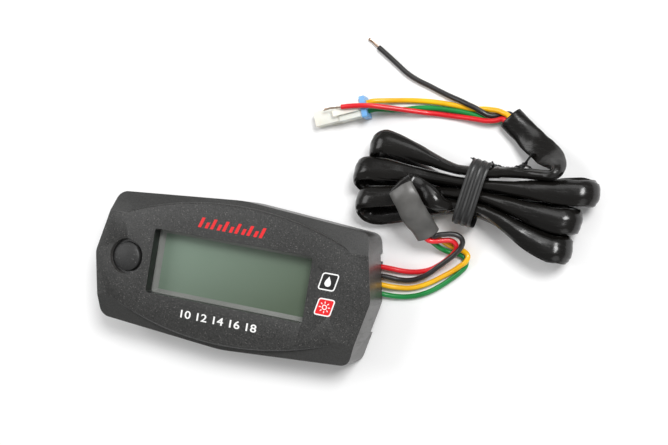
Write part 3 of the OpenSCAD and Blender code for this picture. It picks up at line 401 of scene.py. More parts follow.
def faceRegion(face):
    middle, normal = face.center / mm, face.normal
    west, east, south, north = bezel["window"]
    # the walls of the window opening and of the button well get the dark recess finish, which is painted
    # shade
    if west < middle.x < east and south < middle.y < north and middle.z < bezel["windowTop"]:
        return "recessShade"
    wellX, wellRadius, wellFloor = bezel["buttonWell"]
    if middle.z > wellFloor and math.hypot(middle.x - wellX, middle.y) < wellRadius:
        return "recessShade"
    if normal.z > bezel["facingUp"]:
        if middle.z > bezel["faceFrom"]:
            reach = math.hypot(middle.x, abs(middle.y) + bezel["arcRadius"] - bezel["arcTop"])
            inArc = reach < bezel["arcRadius"] + bezel["arcSlack"]
            return "faceCharcoal" if inArc or abs(middle.y) < bezel["creaseHeight"] else "padCharcoal"
        if middle.z > bezel["padsFrom"]:
            return "padCharcoal"
    if middle.z < bezel["rimTo"] and abs(normal.z) > bezel["facingBack"]:
        return "coverBlack"
    return "sideCharcoal"


def buildBezel():
    piece = softenedCopy("front_bezel", bezel["edgeWidth"], bezel["edgeSegments"], bezel["edgeAngle"])
    settle(piece, "frontBezel", finish["faceCharcoal"], angle=bezel["edgeAngle"])
    places = {"faceCharcoal": 0}
    for name in ("padCharcoal", "sideCharcoal", "recessShade", "coverBlack"):
        places[name] = len(piece.data.materials)
        piece.data.materials.append(finish[name])
    for face in piece.data.polygons:
        face.material_index = places[faceRegion(face)]
    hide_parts("front_bezel")


buildBezel()
print("bezel built")

# Finishes for the nodes that stay, and softened copies of some
nodeFinishes = {
    "rear_cover": "coverBlack", "window_lens": "clearWindow", "display_front_glass": "displayGreen",
    "display_rear_glass": "displayBack", "backlight_diffuser": "milkyWhite", "backlight_lamps": "milkyWhite",
    "contact_strips": "contactRubber", "circuit_board": "boardGreen", "micro_chip": "chipBlack",
    "voltage_regulator": "chipBlack", "smoothing_capacitor": "canAluminium", "switch_body": "chipBlack",
    "switch_plunger": "plungerTan", "case_seal": "sealBlack", "case_screws": "screwSteel",
    "adhesive_pad": "padFoam", "upper_label": "printBlack", "lower_label": "printRed",
    "inner_leads": "bareCopper", "solder_joints": "solderTin", "plug_terminals": "terminalBrass",
    "front_bezel": "sideCharcoal", "button_cap": "buttonRubber", "display_frame": "frameGrey",
    "wire_grommet": "sealBlack", "plug_housing": "plugNylon", "plug_lock": "lockBlue",
}
softEdges = {
    "segments": 3,
    "sharperThan": 28,
    "smoothTo": 35,
    "pieces": (
        ("button_cap", "buttonCap", 0.18, "button", "button"),
        ("display_frame", "displayFrame", 0.08, "display_frame", "housing"),
        ("wire_grommet", "wireGrommet", 0.2, "seal", "housing"),
        ("plug_housing", "plugHousing", 0.14, "plug_body", "housing"),
        ("plug_lock", "plugLock", 0.18, "plug_lock", "housing"),
    ),
}
for nodeName, finishName in nodeFinishes.items():
    nodes[nodeName].data.materials.clear()
    nodes[nodeName].data.materials.append(finish[finishName])
for nodeName, newName, width, slotName, body in softEdges["pieces"]:
    soft = softenedCopy(nodeName, width, softEdges["segments"], softEdges["sharperThan"])
    settle(soft, newName, finish[nodeFinishes[nodeName]], body=body, angle=softEdges["smoothTo"])
    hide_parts(nodeName)
print("carried nodes finished")


# Shared steps for cords: places are in mm until the mesh is made
def routeLength(points):
    return sum((Vector(b) - Vector(a)).length for a, b in zip(points, points[1:])) * mm


def smoothRoute(points, count):  # a smooth line through all the points
    points = [Vector(p) for p in points]
    padded = [points[0] * 2 - points[1]] + points + [points[-1] * 2 - points[-2]]
    spans = len(points) - 1
    result = []
    for i in range(count + 1):
        t = i / count * spans
        k = min(int(t), spans - 1)
        u = t - k
        a, b, c, d = padded[k:k + 4]
        bend = (2 * a - 5 * b + 4 * c - d) * u * u
        twist = (3 * b - a - 3 * c + d) * u ** 3
        result.append(0.5 * ((2 * b) + (c - a) * u + bend + twist))
    return result


def headingAt(centres, i):
    return (centres[min(i + 1, len(centres) - 1)] - centres[max(i - 1, 0)]).normalized()


def tubeFaces(rings, sides):  # the walls between rings of points, and a cap at each end
    faces = []
    for i in range(rings - 1):
        for k in range(sides):
            n = (k + 1) % sides
            faces.append((i * sides + k, (i + 1) * sides + k, (i + 1) * sides + n, i * sides + n))
    faces.append(tuple(range(sides)))
    faces.append(tuple((rings - 1) * sides + k for k in reversed(range(sides))))
    return faces


def tubeFrom(name, points, faces, material, angle):
    data = bpy.data.meshes.new(name)
    data.from_pydata(points, [], faces)
    data.update()
    piece = addObject(name, data)
    makeActive(piece)
    bpy.ops.object.mode_set(mode="EDIT")
    bpy.ops.mesh.select_all(action="SELECT")
    bpy.ops.mesh.remove_doubles(threshold=1e-7)
    bpy.ops.mesh.normals_make_consistent(inside=False)
    bpy.ops.object.mode_set(mode="OBJECT")
    settle(piece, name, material, angle=angle)
    return piece


# Wires
wireSettings = {
    "radius": 0.75,
    "exitX": 41.0,
    "exitZ": 1.9,
    "exitRun": 1.5,
    "inside": 3.0,
    "beforeMouth": 0.9,
    "apart": (0.95, 0.85),  # in a mouth, across it and up
    "roundness": 5,
    "smoothness": 8,
}
nearMouth = Vector((54.2, 21.3, 7.0))
farMouth = Vector((70.9, 57.1, 2.6))
mouthAngles = {"near": 42, "far": 226}
nearRoutes = {
    "Red": (9.65, [
        (44.5, 9.6, 1.7), (47, 9.5, 1.2), (50, 9.7, 0.9), (53, 10.4, 0.8), (55.3, 11.4, 0.9),
        (57.4, 12.9, 1.3), (59.6, 14.9, 2.2), (61.3, 16.9, 2.9), (62.1, 18.5, 3.7), (61.8, 19.8, 4.5),
        (60.5, 20.5, 5.2), (58.8, 20.3, 5.7), (57, 19.8, 6.2), (55.3, 19.5, 6.6)]),
    "Black": (7.1, [
        (44.5, 7, 1.6), (47, 6.9, 1.2), (50, 7.3, 1.3), (53, 8.6, 1.9), (55.4, 10.3, 2.6),
        (57.6, 12.4, 3.3), (60.1, 14.8, 4.1), (62.5, 17.4, 4.8), (63.8, 19.6, 5.4), (63.8, 21.2, 6),
        (62.6, 22.2, 6.5), (60.8, 22.4, 6.9), (58.9, 22, 7.2), (57.1, 21.5, 7.4)]),
    "Yellow": (4.55, [
        (44.5, 4.5, 1.6), (47, 4.6, 1.1), (50, 5, 0.9), (53, 6.1, 0.9), (56, 7.8, 0.9), (59, 10, 0.9),
        (61.6, 12, 1.1), (63.7, 13.9, 1.9), (65.2, 15.5, 2.5), (65.4, 17, 2.4), (64, 18.1, 2),
        (62, 18.5, 2), (60.4, 18.9, 2.3), (58.8, 19.5, 3.1), (57.4, 20.2, 4.2), (56.2, 20.8, 5.2)]),
    "Green": (2.0, [
        (44.5, 1.9, 1.5), (47, 2, 1.1), (50, 2.5, 0.9), (53, 3.5, 0.9), (56, 5.1, 0.9), (58.8, 7.2, 0.9),
        (61.4, 9.6, 0.9), (63.8, 12.2, 0.9), (65, 14.4, 0.9), (64.4, 16.2, 0.9), (62.2, 17, 1),
        (59.6, 17.2, 1.6), (57.4, 17.9, 2.9), (55.8, 18.9, 4.3)]),
}
nearPlaces = {"Red": (-1, 1), "Black": (1, 1), "Yellow": (1, -1), "Green": (-1, -1)}
farRoutes = {
    "Red": [
        (67, 55.7, 2.8), (64.4, 55.3, 2.4), (61.2, 55.4, 2), (57.6, 55.5, 1.4), (54, 55.5, 0.9),
        (50, 55.5, 0.9), (47, 55.4, 1.3), (44.4, 55.3, 2.2), (41, 55.2, 3.2), (37.6, 55.1, 4.3),
        (34.2, 55, 5.4), (31, 54.8, 6.3), (28.2, 54.4, 6.7), (25.4, 53.9, 6.7), (22.7, 53.3, 6.5)],
    "Black": [
        (69, 58, 1.6), (67.2, 57.4, 1.5), (64.7, 57, 1.9), (62.6, 57.7, 2.3), (60.6, 58.5, 2.4),
        (58.4, 59.2, 2.3), (56, 60, 1.8), (52.6, 61, 1.1), (49.2, 62.1, 0.9), (45.8, 63.3, 0.9),
        (42.2, 64.5, 0.9), (39, 66, 0.9), (36, 68, 0.9), (33.2, 69.9, 0.9), (30.9, 71.4, 0.9),
        (29.2, 72.5, 0.9)],
    "Yellow": [
        (69, 58, 3.3), (67.4, 58.5, 2.7), (64.6, 58.7, 1.6), (62.9, 58.7, 1), (60.1, 58.3, 0.9),
        (56.5, 58.5, 0.9), (52.9, 58.7, 0.9), (48, 58.8, 0.9), (44, 58.6, 0.9), (40, 58.2, 0.9),
        (36.6, 57.7, 1.1), (33.6, 57.2, 1.7)],
    "Green": [
        (67.3, 55.8, 0.9), (64.6, 55.5, 0.9), (61.2, 56.5, 0.9), (57.2, 57, 0.9), (53, 57.1, 0.9),
        (48, 57, 0.9), (44, 56.5, 0.9), (40.5, 55.7, 0.9), (37, 55, 1), (34, 54.7, 1.6)],
}
farPlaces = {"Red": (1.85, 0.65), "Black": (-0.6, -0.65), "Yellow": (0.1, 1.1), "Green": (1.7, -1.25)}
plug = {
    "place": Vector((29.4, 54.7, 2.75)), "turn": 201.2, "pitch": 2.5, "entry": 1.9,
    "sides": {"Yellow": 1, "Green": -1},
}


def mouthPlace(mouth, heading, angle, across, up):
    level = Vector((math.cos(math.radians(angle)), math.sin(math.radians(angle)), 0))
    level = squareTo(level, heading)
    lift = heading.cross(level)
    return mouth + level * across * wireSettings["apart"][0] - lift * up * wireSettings["apart"][1]


def plugPlace(side, back):
    turn = math.radians(plug["turn"])
    ahead = Vector((math.cos(turn), math.sin(turn), 0))
    aside = Vector((math.sin(turn), -math.cos(turn), 0))
    return plug["place"] - ahead * back + aside * side * plug["pitch"] / 2


def wireCurve(name, points, material):
    data = bpy.data.curves.new(name, "CURVE")
    data.dimensions = "3D"
    data.bevel_depth = wireSettings["radius"] * mm
    data.bevel_resolution = wireSettings["roundness"]
    data.resolution_u = wireSettings["smoothness"]
    data.use_fill_caps = True
    line = data.splines.new("BEZIER")
    line.bezier_points.add(len(points) - 1)
    for handle, point in zip(line.bezier_points, points):
        handle.co = Vector(point) * mm
        handle.handle_left_type = handle.handle_right_type = "AUTO"
    piece = addObject(name, data)
    data.materials.append(material)
    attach(piece, "housing")
    return piece


nearHeading = (Vector((53.3, 22.6, 8.4)) - nearMouth).normalized()
farHeading = (Vector((72.9, 55.5, 2.8)) - farMouth).normalized()  # into the sheath at both mouths
for colour, (laneY, points) in nearRoutes.items():
    exitX, exitZ = wireSettings["exitX"], wireSettings["exitZ"]
    start = [(exitX, laneY, exitZ), (exitX + wireSettings["exitRun"], laneY, exitZ)]
    end = mouthPlace(nearMouth, nearHeading, mouthAngles["near"], *nearPlaces[colour])
    before, inside = nearHeading * wireSettings["beforeMouth"], nearHeading * wireSettings["inside"]
    route = start + points + [end - before, end, end + inside]
    wire = wireCurve(f"nearWire{colour}", route, finish[f"wire{colour}"])
    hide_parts(f"near_wire_{colour.lower()}")
for colour, points in farRoutes.items():
    start = mouthPlace(farMouth, farHeading, mouthAngles["far"], *farPlaces[colour])
    before, inside = farHeading * wireSettings["beforeMouth"], farHeading * wireSettings["inside"]
    route = [start + inside, start, start - before] + points
    if colour in plug["sides"]:
        route += [plugPlace(plug["sides"][colour], back) for back in (plug["entry"], 0)]
    wire = wireCurve(f"farWire{colour}", route, finish[f"wire{colour}"])
    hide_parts(f"far_wire_{colour.lower()}")
print("wires laid")

# Bare strands: a few thin wires twisted round one line, with one more in its middle
strandSettings = {
    "radius": 0.11,
    "roundness": 2,
    "around": 6,
    "steps": 24,
    "turns": 0.9,
    "apart": 0.22,
    "flare": 0.16,
    "across": (0.35, 0.94),
    "smoothTo": 40,
    "routes": {
        "Red": [
            (22.9, 53.35, 6.5), (21.2, 52.9, 6.4), (19.6, 52.6, 6.4), (18.4, 52.2, 6.2),
            (17.5, 51.95, 6.1)],
        "Black": [
            (29.4, 72.4, 0.8), (28.2, 73.1, 0.72), (27.2, 73.8, 0.62), (26.3, 74.3, 0.52),
            (25.7, 74.65, 0.5)],
    },
}


def buildStrands(colour, points):
    data = bpy.data.curves.new("strands", "CURVE")
    data.dimensions = "3D"
    data.bevel_depth = strandSettings["radius"] * mm
    data.bevel_resolution = strandSettings["roundness"]
    data.use_fill_caps = True
    line = smoothRoute(points, strandSettings["steps"])
    around = strandSettings["around"]
    x, y = strandSettings["across"]
    for k in range(around + 1):
        strand = data.splines.new("POLY")
        strand.points.add(len(line) - 1)
        for i, centre in enumerate(line):
            share = i / len(line)
            turn = 2 * math.pi * (k / around + strandSettings["turns"] * i / len(line))
            spread = 0.0 if k == around else strandSettings["apart"] + strandSettings["flare"] * share ** 3
            aside = Vector((x * math.cos(turn), y * math.cos(turn), math.sin(turn))) * spread
            strand.points[i].co = ((centre + aside) * mm).to_4d()
    makeActive(addObject("strands", data))
    bpy.ops.object.convert(target="MESH")
    piece = bpy.context.object
    settle(piece, f"strands{colour}", finish["bareCopper"], angle=strandSettings["smoothTo"])
    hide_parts(f"{colour.lower()}_strands")
    return piece


strands = {colour: buildStrands(colour, points) for colour, points in strandSettings["routes"].items()}
print("strands twisted")

# Sheath: one soft tube from mouth to mouth, by the same rules as its solid
hank = {
    "x": 63.6, "y": 34.0, "runHalf": 26.5, "foldRadius": 3.8, "waistFlat": 4.2, "softShare": 0.4,
    "foldShare": 0.25, "middle": 1.75, "start": 0.232, "end": 3.286, "waistPitch": 3.3, "endPitch": 8.0,
    "leftOuts": (0.0, -0.4, -2.4, 1.1), "rightOuts": (-1.4, -0.2, 3.2, 0.0), "sideways": (0.0, -1.0, -0.8),
    # height, rise, shift and tilt at each place
    "waist": (6.2, 2.75, 1.45, 0.0), "left": (6.2, 3.6, 1.3, 16.0), "right": (5.8, 3.8, 0.5, 8.0),
    "halfWidths": (1.42, 3.3, 3.7), "halfHeights": (2.3, 1.25, 1.5), "steps": 450,
}
tails = {
    "near": [
        (54.2, 21.3, 7), (53.3, 22.6, 8.4), (52.4, 23.9, 10.5), (51.5, 25.2, 12.7), (50.6, 26.6, 14.4),
        (49.8, 28.1, 15.4), (48.9, 29.6, 16), (48, 30.8, 16.3), (47.1, 31.9, 16.2), (46.3, 32.9, 15.8),
        (45.9, 33.5, 15), (46, 33.7, 13.9), (46.7, 33.6, 13), (47.9, 33.4, 12.5), (49.4, 33.1, 12.4),
        (51, 32.7, 12.4), (52.7, 32.3, 12.5), (54.3, 31.6, 12.5), (55.9, 30.6, 12.2), (57.3, 30.1, 11.2),
        (58.6, 30.1, 10)],
    "nearAngles": [42, 42, 42, 42, 42, 42, 42, 43, 45, 47, 49, 52, 56, 60, 66, 71, 76, 80, 83, 86, 86, 90],
    "nearFlat": [1] * 14 + [0.95, 0.9, 0.8, 0.65, 0.5, 0.35, 0.2, 0],
    "far": [
        (74.9, 41.7, 9.2), (78.2, 41.9, 9.7), (81.2, 42.1, 10.2), (83.4, 42.2, 10.7), (85.2, 42.3, 11.1),
        (86.4, 42.9, 11.2), (86.9, 44, 10.8), (86.5, 45.4, 9.7), (85.2, 46.7, 8.3), (83.4, 48, 6.8),
        (81.3, 49.4, 5.4), (79.1, 50.9, 4.3), (77, 52.4, 3.6), (75, 53.9, 3.1), (72.9, 55.5, 2.8),
        (70.9, 57.1, 2.6)],
    "farAngles": [90, 92, 94, 96, 100, 112, 135, 165, 190, 205, 213, 218, 221, 223, 224, 225, 226],
    "farFlat": [0] * 6 + [0.05, 0.2, 0.5, 0.8] + [1] * 7,
    "plain": (3.75, 1.0), "mouth": (3.5, 1.9), "mouthSteps": 4, "parts": 5,
}
skin = {
    "sides": 28,
    "power": (0.9, 1.2),
    "wall": 0.35,
    "rim": (0.21, 0.12),
    "insideRings": 14,
    "paintedSheenRings": 44,
    "smoothTo": 60,
    "ripple": {"depth": 0.09, "along": 0.22, "from": 3.1},
    "dents": {"depth": 0.07, "along": 0.3, "round": 1.5, "from": 7.0},
    "creases": {"depth": 0.12, "along": 0.07, "round": 3.6, "from": 20.0, "fadeRings": 30},
    "pathStep": 3,
}


def blendValue(a, b, s):
    return a + (b - a) * s


def eased(s):
    s = min(1.0, max(0.0, s))
    return s * s * (3 - 2 * s)


def loopPlace(turn):  # where one turn of the hank is, along its runs and round its folds
    f = turn - math.floor(turn)
    half = hank["foldShare"] / 2
    run = 0.5 - hank["foldShare"]
    reach = hank["runHalf"]
    fold = hank["foldRadius"]
    if f < half:
        g = math.radians(180 - 90 * f / half)
        return -reach + fold * math.cos(g), math.sin(g)
    if f < half + run:
        return blendValue(-reach, reach, (f - half) / run), 1.0
    if f < 0.5 + half:
        g = math.radians(90 - 90 * (f - half - run) / half)
        return reach + fold * math.cos(g), math.sin(g)
    if f < 0.5 + half + run:
        return blendValue(reach, -reach, (f - 0.5 - half) / run), -1.0
    g = math.radians(270 - 90 * (f - 0.5 - half - run) / half)
    return -reach + fold * math.cos(g), math.sin(g)


def alongRun(dx, waist, left, right):
    side = left if dx < 0 else right
    s = (abs(dx) - hank["waistFlat"]) / (hank["runHalf"] - hank["waistFlat"])
    return blendValue(waist, side, blendValue(min(1.0, max(0.0, s)), eased(s), hank["softShare"]))


def hankStation(turn):
    dx, up = loopPlace(turn)
    count = turn - hank["middle"]
    waist, left, right = hank["waist"], hank["left"], hank["right"]
    z, rise, shift, tilt = [alongRun(dx, waist[i], left[i], right[i]) for i in range(4)]
    out = hank["leftOuts"][math.floor(turn + 0.5)] if dx < 0 else hank["rightOuts"][math.floor(turn)]
    centre = Vector((
        hank["x"] + dx + out * eased(abs(dx) / hank["runHalf"]),
        hank["y"] + alongRun(dx, *hank["sideways"]) + up * shift
        + count * alongRun(dx, hank["waistPitch"], hank["endPitch"], hank["endPitch"]),
        z + up * rise,
    ))
    width = Vector((0, math.cos(math.radians(tilt)), -math.sin(math.radians(tilt))))
    return centre, width, alongRun(dx, *hank["halfWidths"]), alongRun(dx, *hank["halfHeights"])


def tailSize(steps, share):
    plain, mouth = tails["plain"], tails["mouth"]
    if steps < tails["mouthSteps"]:
        return tuple(blendValue(mouth[i], plain[i], eased(steps / tails["mouthSteps"])) for i in (0, 1))
    waist = hank["halfWidths"][0], hank["halfHeights"][0]
    return tuple(blendValue(waist[i], plain[i], share) for i in (0, 1))


def tailStations(points, angles, shares, fromMouth):
    last = len(points) - 1
    stations = []
    for i, centre in enumerate(smoothRoute(points, last * tails["parts"])):
        t = i / tails["parts"]
        k = min(int(t), last - 1)
        angle = math.radians(blendValue(angles[k], angles[k + 1], t - k))
        width = Vector((math.cos(angle), math.sin(angle), 0))
        share = blendValue(shares[k], shares[k + 1], t - k)
        stations.append((centre, width, *tailSize(t if fromMouth else last - t, share)))
    return stations


def sheathStations():
    steps = hank["steps"]
    middle = [hankStation(blendValue(hank["start"], hank["end"], i / steps)) for i in range(steps + 1)]
    near = tailStations(tails["near"] + [tuple(middle[0][0])], tails["nearAngles"], tails["nearFlat"], True)
    far = tailStations([tuple(middle[-1][0])] + tails["far"], tails["farAngles"], tails["farFlat"], False)
    if far[0][1].dot(middle[-1][1]) < 0:
        far = [(centre, -width, a, b) for centre, width, a, b in far]
    return near[:-1] + middle + far[1:]


def sectionShape(k):  # a flattened round with soft side folds
    g = 2 * math.pi * k / skin["sides"]
    c, s = math.cos(g), math.sin(g)
    return math.copysign(abs(c) ** skin["power"][0], c), math.copysign(abs(s) ** skin["power"][1], s)


def ringPoints(station, calm, inset, shift):  # calm is 0 where the creases are to fade
    travel, centre, heading, width, lift, a, b = station
    ripple, dents, creases = skin["ripple"], skin["dents"], skin["creases"]
    swell = 1.0 + ripple["depth"] * noise.noise(Vector((travel * ripple["along"], ripple["from"], 0.0)))
    ring = []
    for k in range(skin["sides"]):
        across, up = sectionShape(k)
        spot = Vector((travel * dents["along"], across * dents["round"], up * dents["round"] + dents["from"]))
        dent = 1.0 + dents["depth"] * noise.noise(spot)
        spot = Vector((travel * creases["along"] + creases["from"], across * creases["round"],
                       up * creases["round"]))
        dent += creases["depth"] * calm * noise.noise(spot)
        side = width * across * (a - inset) * dent
        ring.append((centre + heading * shift + side + lift * up * (b * swell - inset) * dent) * mm)
    return ring


def buildSheath():
    stations = sheathStations()
    centres = [station[0] for station in stations]
    last = len(centres) - 1
    frames, travel = [], 0.0
    for i, (centre, width, a, b) in enumerate(stations):
        travel += (centre - centres[i - 1]).length if i else 0
        heading = headingAt(centres, i)
        width = squareTo(width, heading)
        frames.append((travel, centre, heading, width, heading.cross(width), a, b))
    wall, inside, (rim, lip) = skin["wall"], skin["insideRings"], skin["rim"]
    order = [(i, wall, 0.0) for i in range(inside, 0, -1)] + [(0, rim, 0.0), (0, lip, -lip)]
    order += [(i, 0.0, 0.0) for i in range(last + 1)]
    order += [(last, lip, lip), (last, rim, 0.0)] + [(last - i, wall, 0.0) for i in range(1, inside + 1)]
    points = []
    for index, inset, shift in order:
        calm = min(1.0, index / skin["creases"]["fadeRings"], (last - index) / skin["creases"]["fadeRings"])
        points += ringPoints(frames[index], calm, inset, shift)
    faces = tubeFaces(len(order), skin["sides"])
    piece = tubeFrom("sheath", points, faces, finish["sheathBlack"], skin["smoothTo"])
    piece.data.materials.append(finish["sheathPaintedSheen"])
    for face in piece.data.polygons[:skin["sides"] * (inside + 2 + skin["paintedSheenRings"])]:
        face.material_index = 1  # the near leg has a rougher finish, and its lighter colour is a painted sheen
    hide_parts("sheath_near_tail", "sheath_hank", "sheath_far_tail")
    return piece, [c * mm for c in centres[::skin["pathStep"]]]


sheath, sheathPath = buildSheath()
print("sheath folded:", round(routeLength([p / mm for p in sheathPath]), 3), "m")

# Twist tie: three turns of ribbon and its two ends twisted together, with a fork at the tip
tie = {
    "x": 64.6, "y": 34.6, "z": 6.45, "reach": 9.2, "rise": 5.95, "turn": 82.0, "pitch": 1.8, "turns": 3,
    "steps": 60, "halfWidth": 0.86, "halfThick": 0.38, "edgeThick": 0.13, "smoothTo": 50,
    "ends": {
        "halfWidth": 0.7, "halfThick": 0.3, "edgeThick": 0.12, "steps": 90, "twists": 3.2, "apart": 0.42,
        "forkFrom": 0.78, "fork": 7.5},
    "endPoints": [
        (68.9, 42.9, 5.1), (69.8, 42.8, 4.4), (71.2, 42.6, 4.1), (72.8, 42.6, 4.1), (74.3, 42.9, 4.3),
        (75.7, 43.5, 4.8), (76.9, 44.2, 5.4), (77.8, 44.9, 6.1), (78.6, 45.4, 6.8), (79.3, 45.9, 7.5)],
}


def squaredOff(v):
    return math.copysign(abs(v) ** 0.5, v)


def ribbonTube(centres, widths, ribbon):  # flat, with its core along the middle, in shares of its half width
    edge, core = ribbon["edgeThick"], ribbon["halfThick"]
    top = [(-1.0, edge), (-0.75, edge), (-0.35, edge * 1.2), (0.0, core)]
    top += [(-across, up) for across, up in top[2::-1]]
    outline = [(across, -up) for across, up in top] + top[::-1]
    points = []
    for i, centre in enumerate(centres):
        heading = headingAt(centres, i)
        width = squareTo(widths[i], heading)
        lift = heading.cross(width)
        for across, up in outline:
            points.append((centre + width * across * ribbon["halfWidth"] + lift * up) * mm)
    return points, tubeFaces(len(centres), len(outline))


def buildTie():
    turn = math.radians(tie["turn"])
    across = Vector((math.cos(turn), math.sin(turn), 0))
    along = Vector((math.sin(turn), -math.cos(turn), 0))
    middle = Vector((tie["x"], tie["y"], tie["z"]))
    centres = []
    for i in range(tie["turns"] * tie["steps"] + 1):
        g = math.radians(-360 * i / tie["steps"])
        out = across * tie["reach"] * squaredOff(math.cos(g))
        rise = Vector((0, 0, tie["rise"] * squaredOff(math.sin(g))))
        centres.append(middle + out + rise + along * tie["pitch"] * (i / tie["steps"] - tie["turns"] / 2))
    points, faces = ribbonTube(centres, [along] * len(centres), tie)
    ends = tie["ends"]
    line = smoothRoute([tuple(centres[-1])] + tie["endPoints"], ends["steps"])
    for side in (0, 1):
        strand, widths = [], []
        for i, centre in enumerate(line):
            share = i / ends["steps"]
            twisted = min(share, ends["forkFrom"])
            angle = 2 * math.pi * twisted * ends["twists"] + math.pi * side
            radius = ends["apart"] + (share - twisted) * ends["fork"]
            strand.append(centre + Vector((0, math.cos(angle), math.sin(angle))) * radius)
            widths.append(Vector((0, math.sin(angle), -math.cos(angle))))
        more, moreFaces = ribbonTube(strand, widths, ends)
        base = len(points)
        points += more
        faces += [tuple(base + v for v in face) for face in moreFaces]
    piece = tubeFrom("twistTie", points, faces, finish["tieBlack"], tie["smoothTo"])
    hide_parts("twist_tie")
    return piece


twistTie = buildTie()
print("tie wound")

# Printed marks on the face
prints = {
    "faceZ": 16.0,
    "thick": 0.03,
    "cornerSteps": 5,
    "discSides": 24,
    "numbers": {"text": "10 12 14 16 18", "west": -12.6, "east": 11.4, "y": -13.45, "height": 2.3,
                "bolder": 0.04},
    "bars": {"west": -10.6, "east": 8.6, "y": 13.8, "width": 1.0, "height": 3.0, "short": 0.6, "count": 11,
             "lean": 0.35, "corner": 0.16},
    "label": {"x": 30.4, "y": 3.6, "side": 5.0, "slant": 0.2, "line": 0.36, "corner": 0.85},
    "drop": {"place": (30.2, 3.15), "radius": 0.95, "slant": 0.2,  # each step: from, raise, narrow
             "steps": ((0.25, 0.35, 0.85), (0.95, 0.4, 0.6), (1.6, 0.35, 0.3))},
    "lamp": {"place": (30.4, -3.6), "radius": 0.75, "line": 0.26, "rays": 8, "reach": 1.35, "ray": 0.6,
             "corner": 0.1},
}


def selectWhere(piece, test):  # vertices by their place
    mesh = bmesh.from_edit_mesh(piece.data)
    bpy.ops.mesh.select_all(action="DESELECT")
    for vertex in mesh.verts:
        vertex.select = test(vertex.co)
    mesh.select_flush_mode()
    bmesh.update_edit_mesh(piece.data)


def finishPrint(piece, name, finishName):
    bpy.ops.object.mode_set(mode="OBJECT")
    solid = piece.modifiers.new("thick", "SOLIDIFY")
    solid.thickness = prints["thick"] * mm
    solid.offset = 1.0
    applyModifiers(piece)
    settle(piece, name, finish[finishName])


def printNumbers():
    want = prints["numbers"]
    deselectAll()
    bpy.ops.object.text_add(location=(0, 0, 0))
    text = bpy.context.object
    text.data.body = want["text"]
    text.data.size = 0.003  # any size does, as the mesh is fitted to its place below
    text.data.extrude = prints["thick"] * mm / 2
    text.data.offset = want["bolder"] * mm
    bpy.ops.object.convert(target="MESH")
    piece = bpy.context.object
    low = [min(v.co[i] for v in piece.data.vertices) for i in range(3)]
    high = [max(v.co[i] for v in piece.data.vertices) for i in range(3)]
    sx = (want["east"] - want["west"]) * mm / (high[0] - low[0])
    sy = want["height"] * mm / (high[1] - low[1])
    for vertex in piece.data.vertices:
        vertex.co.x = want["west"] * mm + (vertex.co.x - low[0]) * sx
        vertex.co.y = (want["y"] - want["height"] / 2) * mm + (vertex.co.y - low[1]) * sy
        vertex.co.z = prints["faceZ"] * mm + (vertex.co.z - low[2])
    settle(piece, "dialNumbers", finish["printWhite"], angle=0)


def startPlate(place, size, lean, corner):  # a plane, leant by its top and bottom edges, its corners rounded
    deselectAll()
    bpy.ops.mesh.primitive_plane_add(size=2 * mm,
                                     location=(place[0] * mm, place[1] * mm, prints["faceZ"] * mm))
    piece = bpy.context.object
    bpy.ops.object.mode_set(mode="EDIT")
    bpy.ops.mesh.select_all(action="SELECT")
    bpy.ops.transform.resize(value=(size[0] / 2, size[1] / 2, 1))
    selectWhere(piece, lambda co: co.y > 0)
    bpy.ops.transform.translate(value=(lean * size[1] * mm / 2, 0, 0))
    selectWhere(piece, lambda co: co.y < 0)
    bpy.ops.transform.translate(value=(-lean * size[1] * mm / 2, 0, 0))
    bpy.ops.mesh.select_all(action="SELECT")
    bpy.ops.mesh.bevel(offset=corner * mm, segments=prints["cornerSteps"], affect="VERTICES")
    bpy.ops.mesh.select_all(action="SELECT")
    return piece


def startDisc(place, radius):
    deselectAll()
    bpy.ops.mesh.primitive_circle_add(vertices=prints["discSides"], radius=radius * mm, fill_type="NGON",
                                      location=(place[0] * mm, place[1] * mm, prints["faceZ"] * mm))
    piece = bpy.context.object
    bpy.ops.object.mode_set(mode="EDIT")
    bpy.ops.mesh.select_all(action="SELECT")
    return piece


def cutMiddle(width):  # what is selected becomes a frame of this width
    bpy.ops.mesh.inset(thickness=width * mm)
    bpy.ops.mesh.delete(type="FACE")


def printBars():  # tall and short in turn, on one base line
    want = prints["bars"]
    step = (want["east"] - want["west"]) / (want["count"] - 1)
    for i in range(want["count"]):
        tall = want["height"] if i % 2 == 0 else want["height"] * want["short"]
        place = want["west"] + i * step, want["y"] - (want["height"] - tall) / 2
        bar = startPlate(place, (want["width"], tall), want["lean"], want["corner"])
        finishPrint(bar, f"redBar{i:02d}", "printRed")


def printLabels():
    want = prints["label"]
    for side, name in ((1, "upper"), (-1, "lower")):
        place = want["x"], want["y"] * side
        outline = startPlate(place, (want["side"], want["side"]), want["slant"], want["corner"])
        cutMiddle(want["line"])
        finishPrint(outline, f"{name}Outline", "printWhite")


def printDrop():  # a plain drop on the upper label
    want = prints["drop"]
    drop = startDisc(want["place"], want["radius"])
    radius = want["radius"] * mm
    for height, rise, narrow in want["steps"]:
        selectWhere(drop, lambda co: co.y > height * radius)
        bpy.ops.transform.resize(value=(narrow, 1, 1))
        bpy.ops.transform.translate(value=(want["slant"] * rise * radius, rise * radius, 0))
    bpy.ops.mesh.select_all(action="SELECT")
    finishPrint(drop, "dropMark", "printWhite")


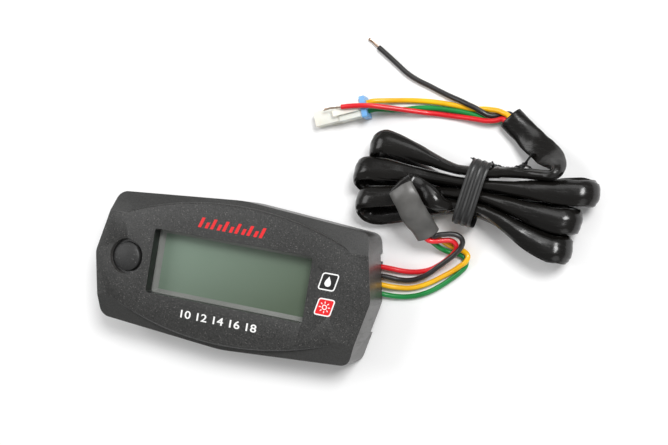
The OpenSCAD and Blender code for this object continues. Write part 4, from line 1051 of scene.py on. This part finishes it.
def printLamp():  # a plain lamp sign on the lower label: a ring with short rays
    want = prints["lamp"]
    x, y = want["place"]
    ring = startDisc(want["place"], want["radius"])
    cutMiddle(want["line"])
    finishPrint(ring, "lampRing", "printWhite")
    for i in range(want["rays"]):
        g = 2 * math.pi * i / want["rays"]
        ray = startPlate((x, y + want["reach"]), (want["line"], want["ray"]), 0.0, want["corner"])
        bpy.ops.transform.rotate(value=-g, orient_axis="Z",
                                 center_override=(x * mm, y * mm, prints["faceZ"] * mm))
        finishPrint(ray, f"lampRay{i}", "printWhite")


printNumbers()
printBars()
printLabels()
printDrop()
printLamp()
print("marks printed")

# Floor and lights
studio = {
    "floorSize": 6,
    "floorZ": -0.00004,
    "paper": {"Base Color": (0.9, 0.9, 0.9, 1.0), "Roughness": 0.75, "Specular IOR Level": 0.2},
    "world": 0.28,
    "backdrop": 0.9,
    "aim": (0.03, 0.02, 0),
    "lamps": [
        ("keyLamp", (0.3, 0.3, 0.6), 0.24, 4.0),
        ("sideLamp", (0.42, -0.5, 0.42), 0.5, 0.9),
        ("backLamp", (0.05, 0.62, 0.7), 0.4, 1.0),
        ("leftLamp", (-0.68, 0.2, 0.75), 0.6, 4.0),
    ],
}


def buildStudio():
    deselectAll()
    bpy.ops.mesh.primitive_plane_add(size=studio["floorSize"], location=(0, 0, studio["floorZ"]))
    floor = bpy.context.object
    floor.name = "floor"
    paper = bpy.data.materials.new("paper")
    paper.use_nodes = True
    for label, value in studio["paper"].items():
        paper.node_tree.nodes["Principled BSDF"].inputs[label].default_value = value
    floor.data.materials.append(paper)
    world = bpy.data.worlds.new("studio")
    bpy.context.scene.world = world
    world.use_nodes = True
    tree = world.node_tree
    tree.nodes["Background"].inputs["Color"].default_value = (1.0, 1.0, 1.0, 1.0)
    seen = addNode(tree, "ShaderNodeLightPath")
    strength = addMath(tree, "MULTIPLY", seen.outputs["Is Camera Ray"], studio["backdrop"])
    strength = addMath(tree, "MAXIMUM", strength, studio["world"])
    tree.links.new(strength, tree.nodes["Background"].inputs["Strength"])
    for name, place, size, power in studio["lamps"]:
        data = bpy.data.lights.new(name, "AREA")
        data.energy = power
        data.size = size
        lamp = addObject(name, data)
        lamp.location = place
        lamp.rotation_euler = (Vector(studio["aim"]) - Vector(place)).to_track_quat("-Z", "Y").to_euler()
    bpy.context.scene.view_settings.view_transform = "Standard"


buildStudio()
print("studio lit")

bpy.context.view_layer.update()
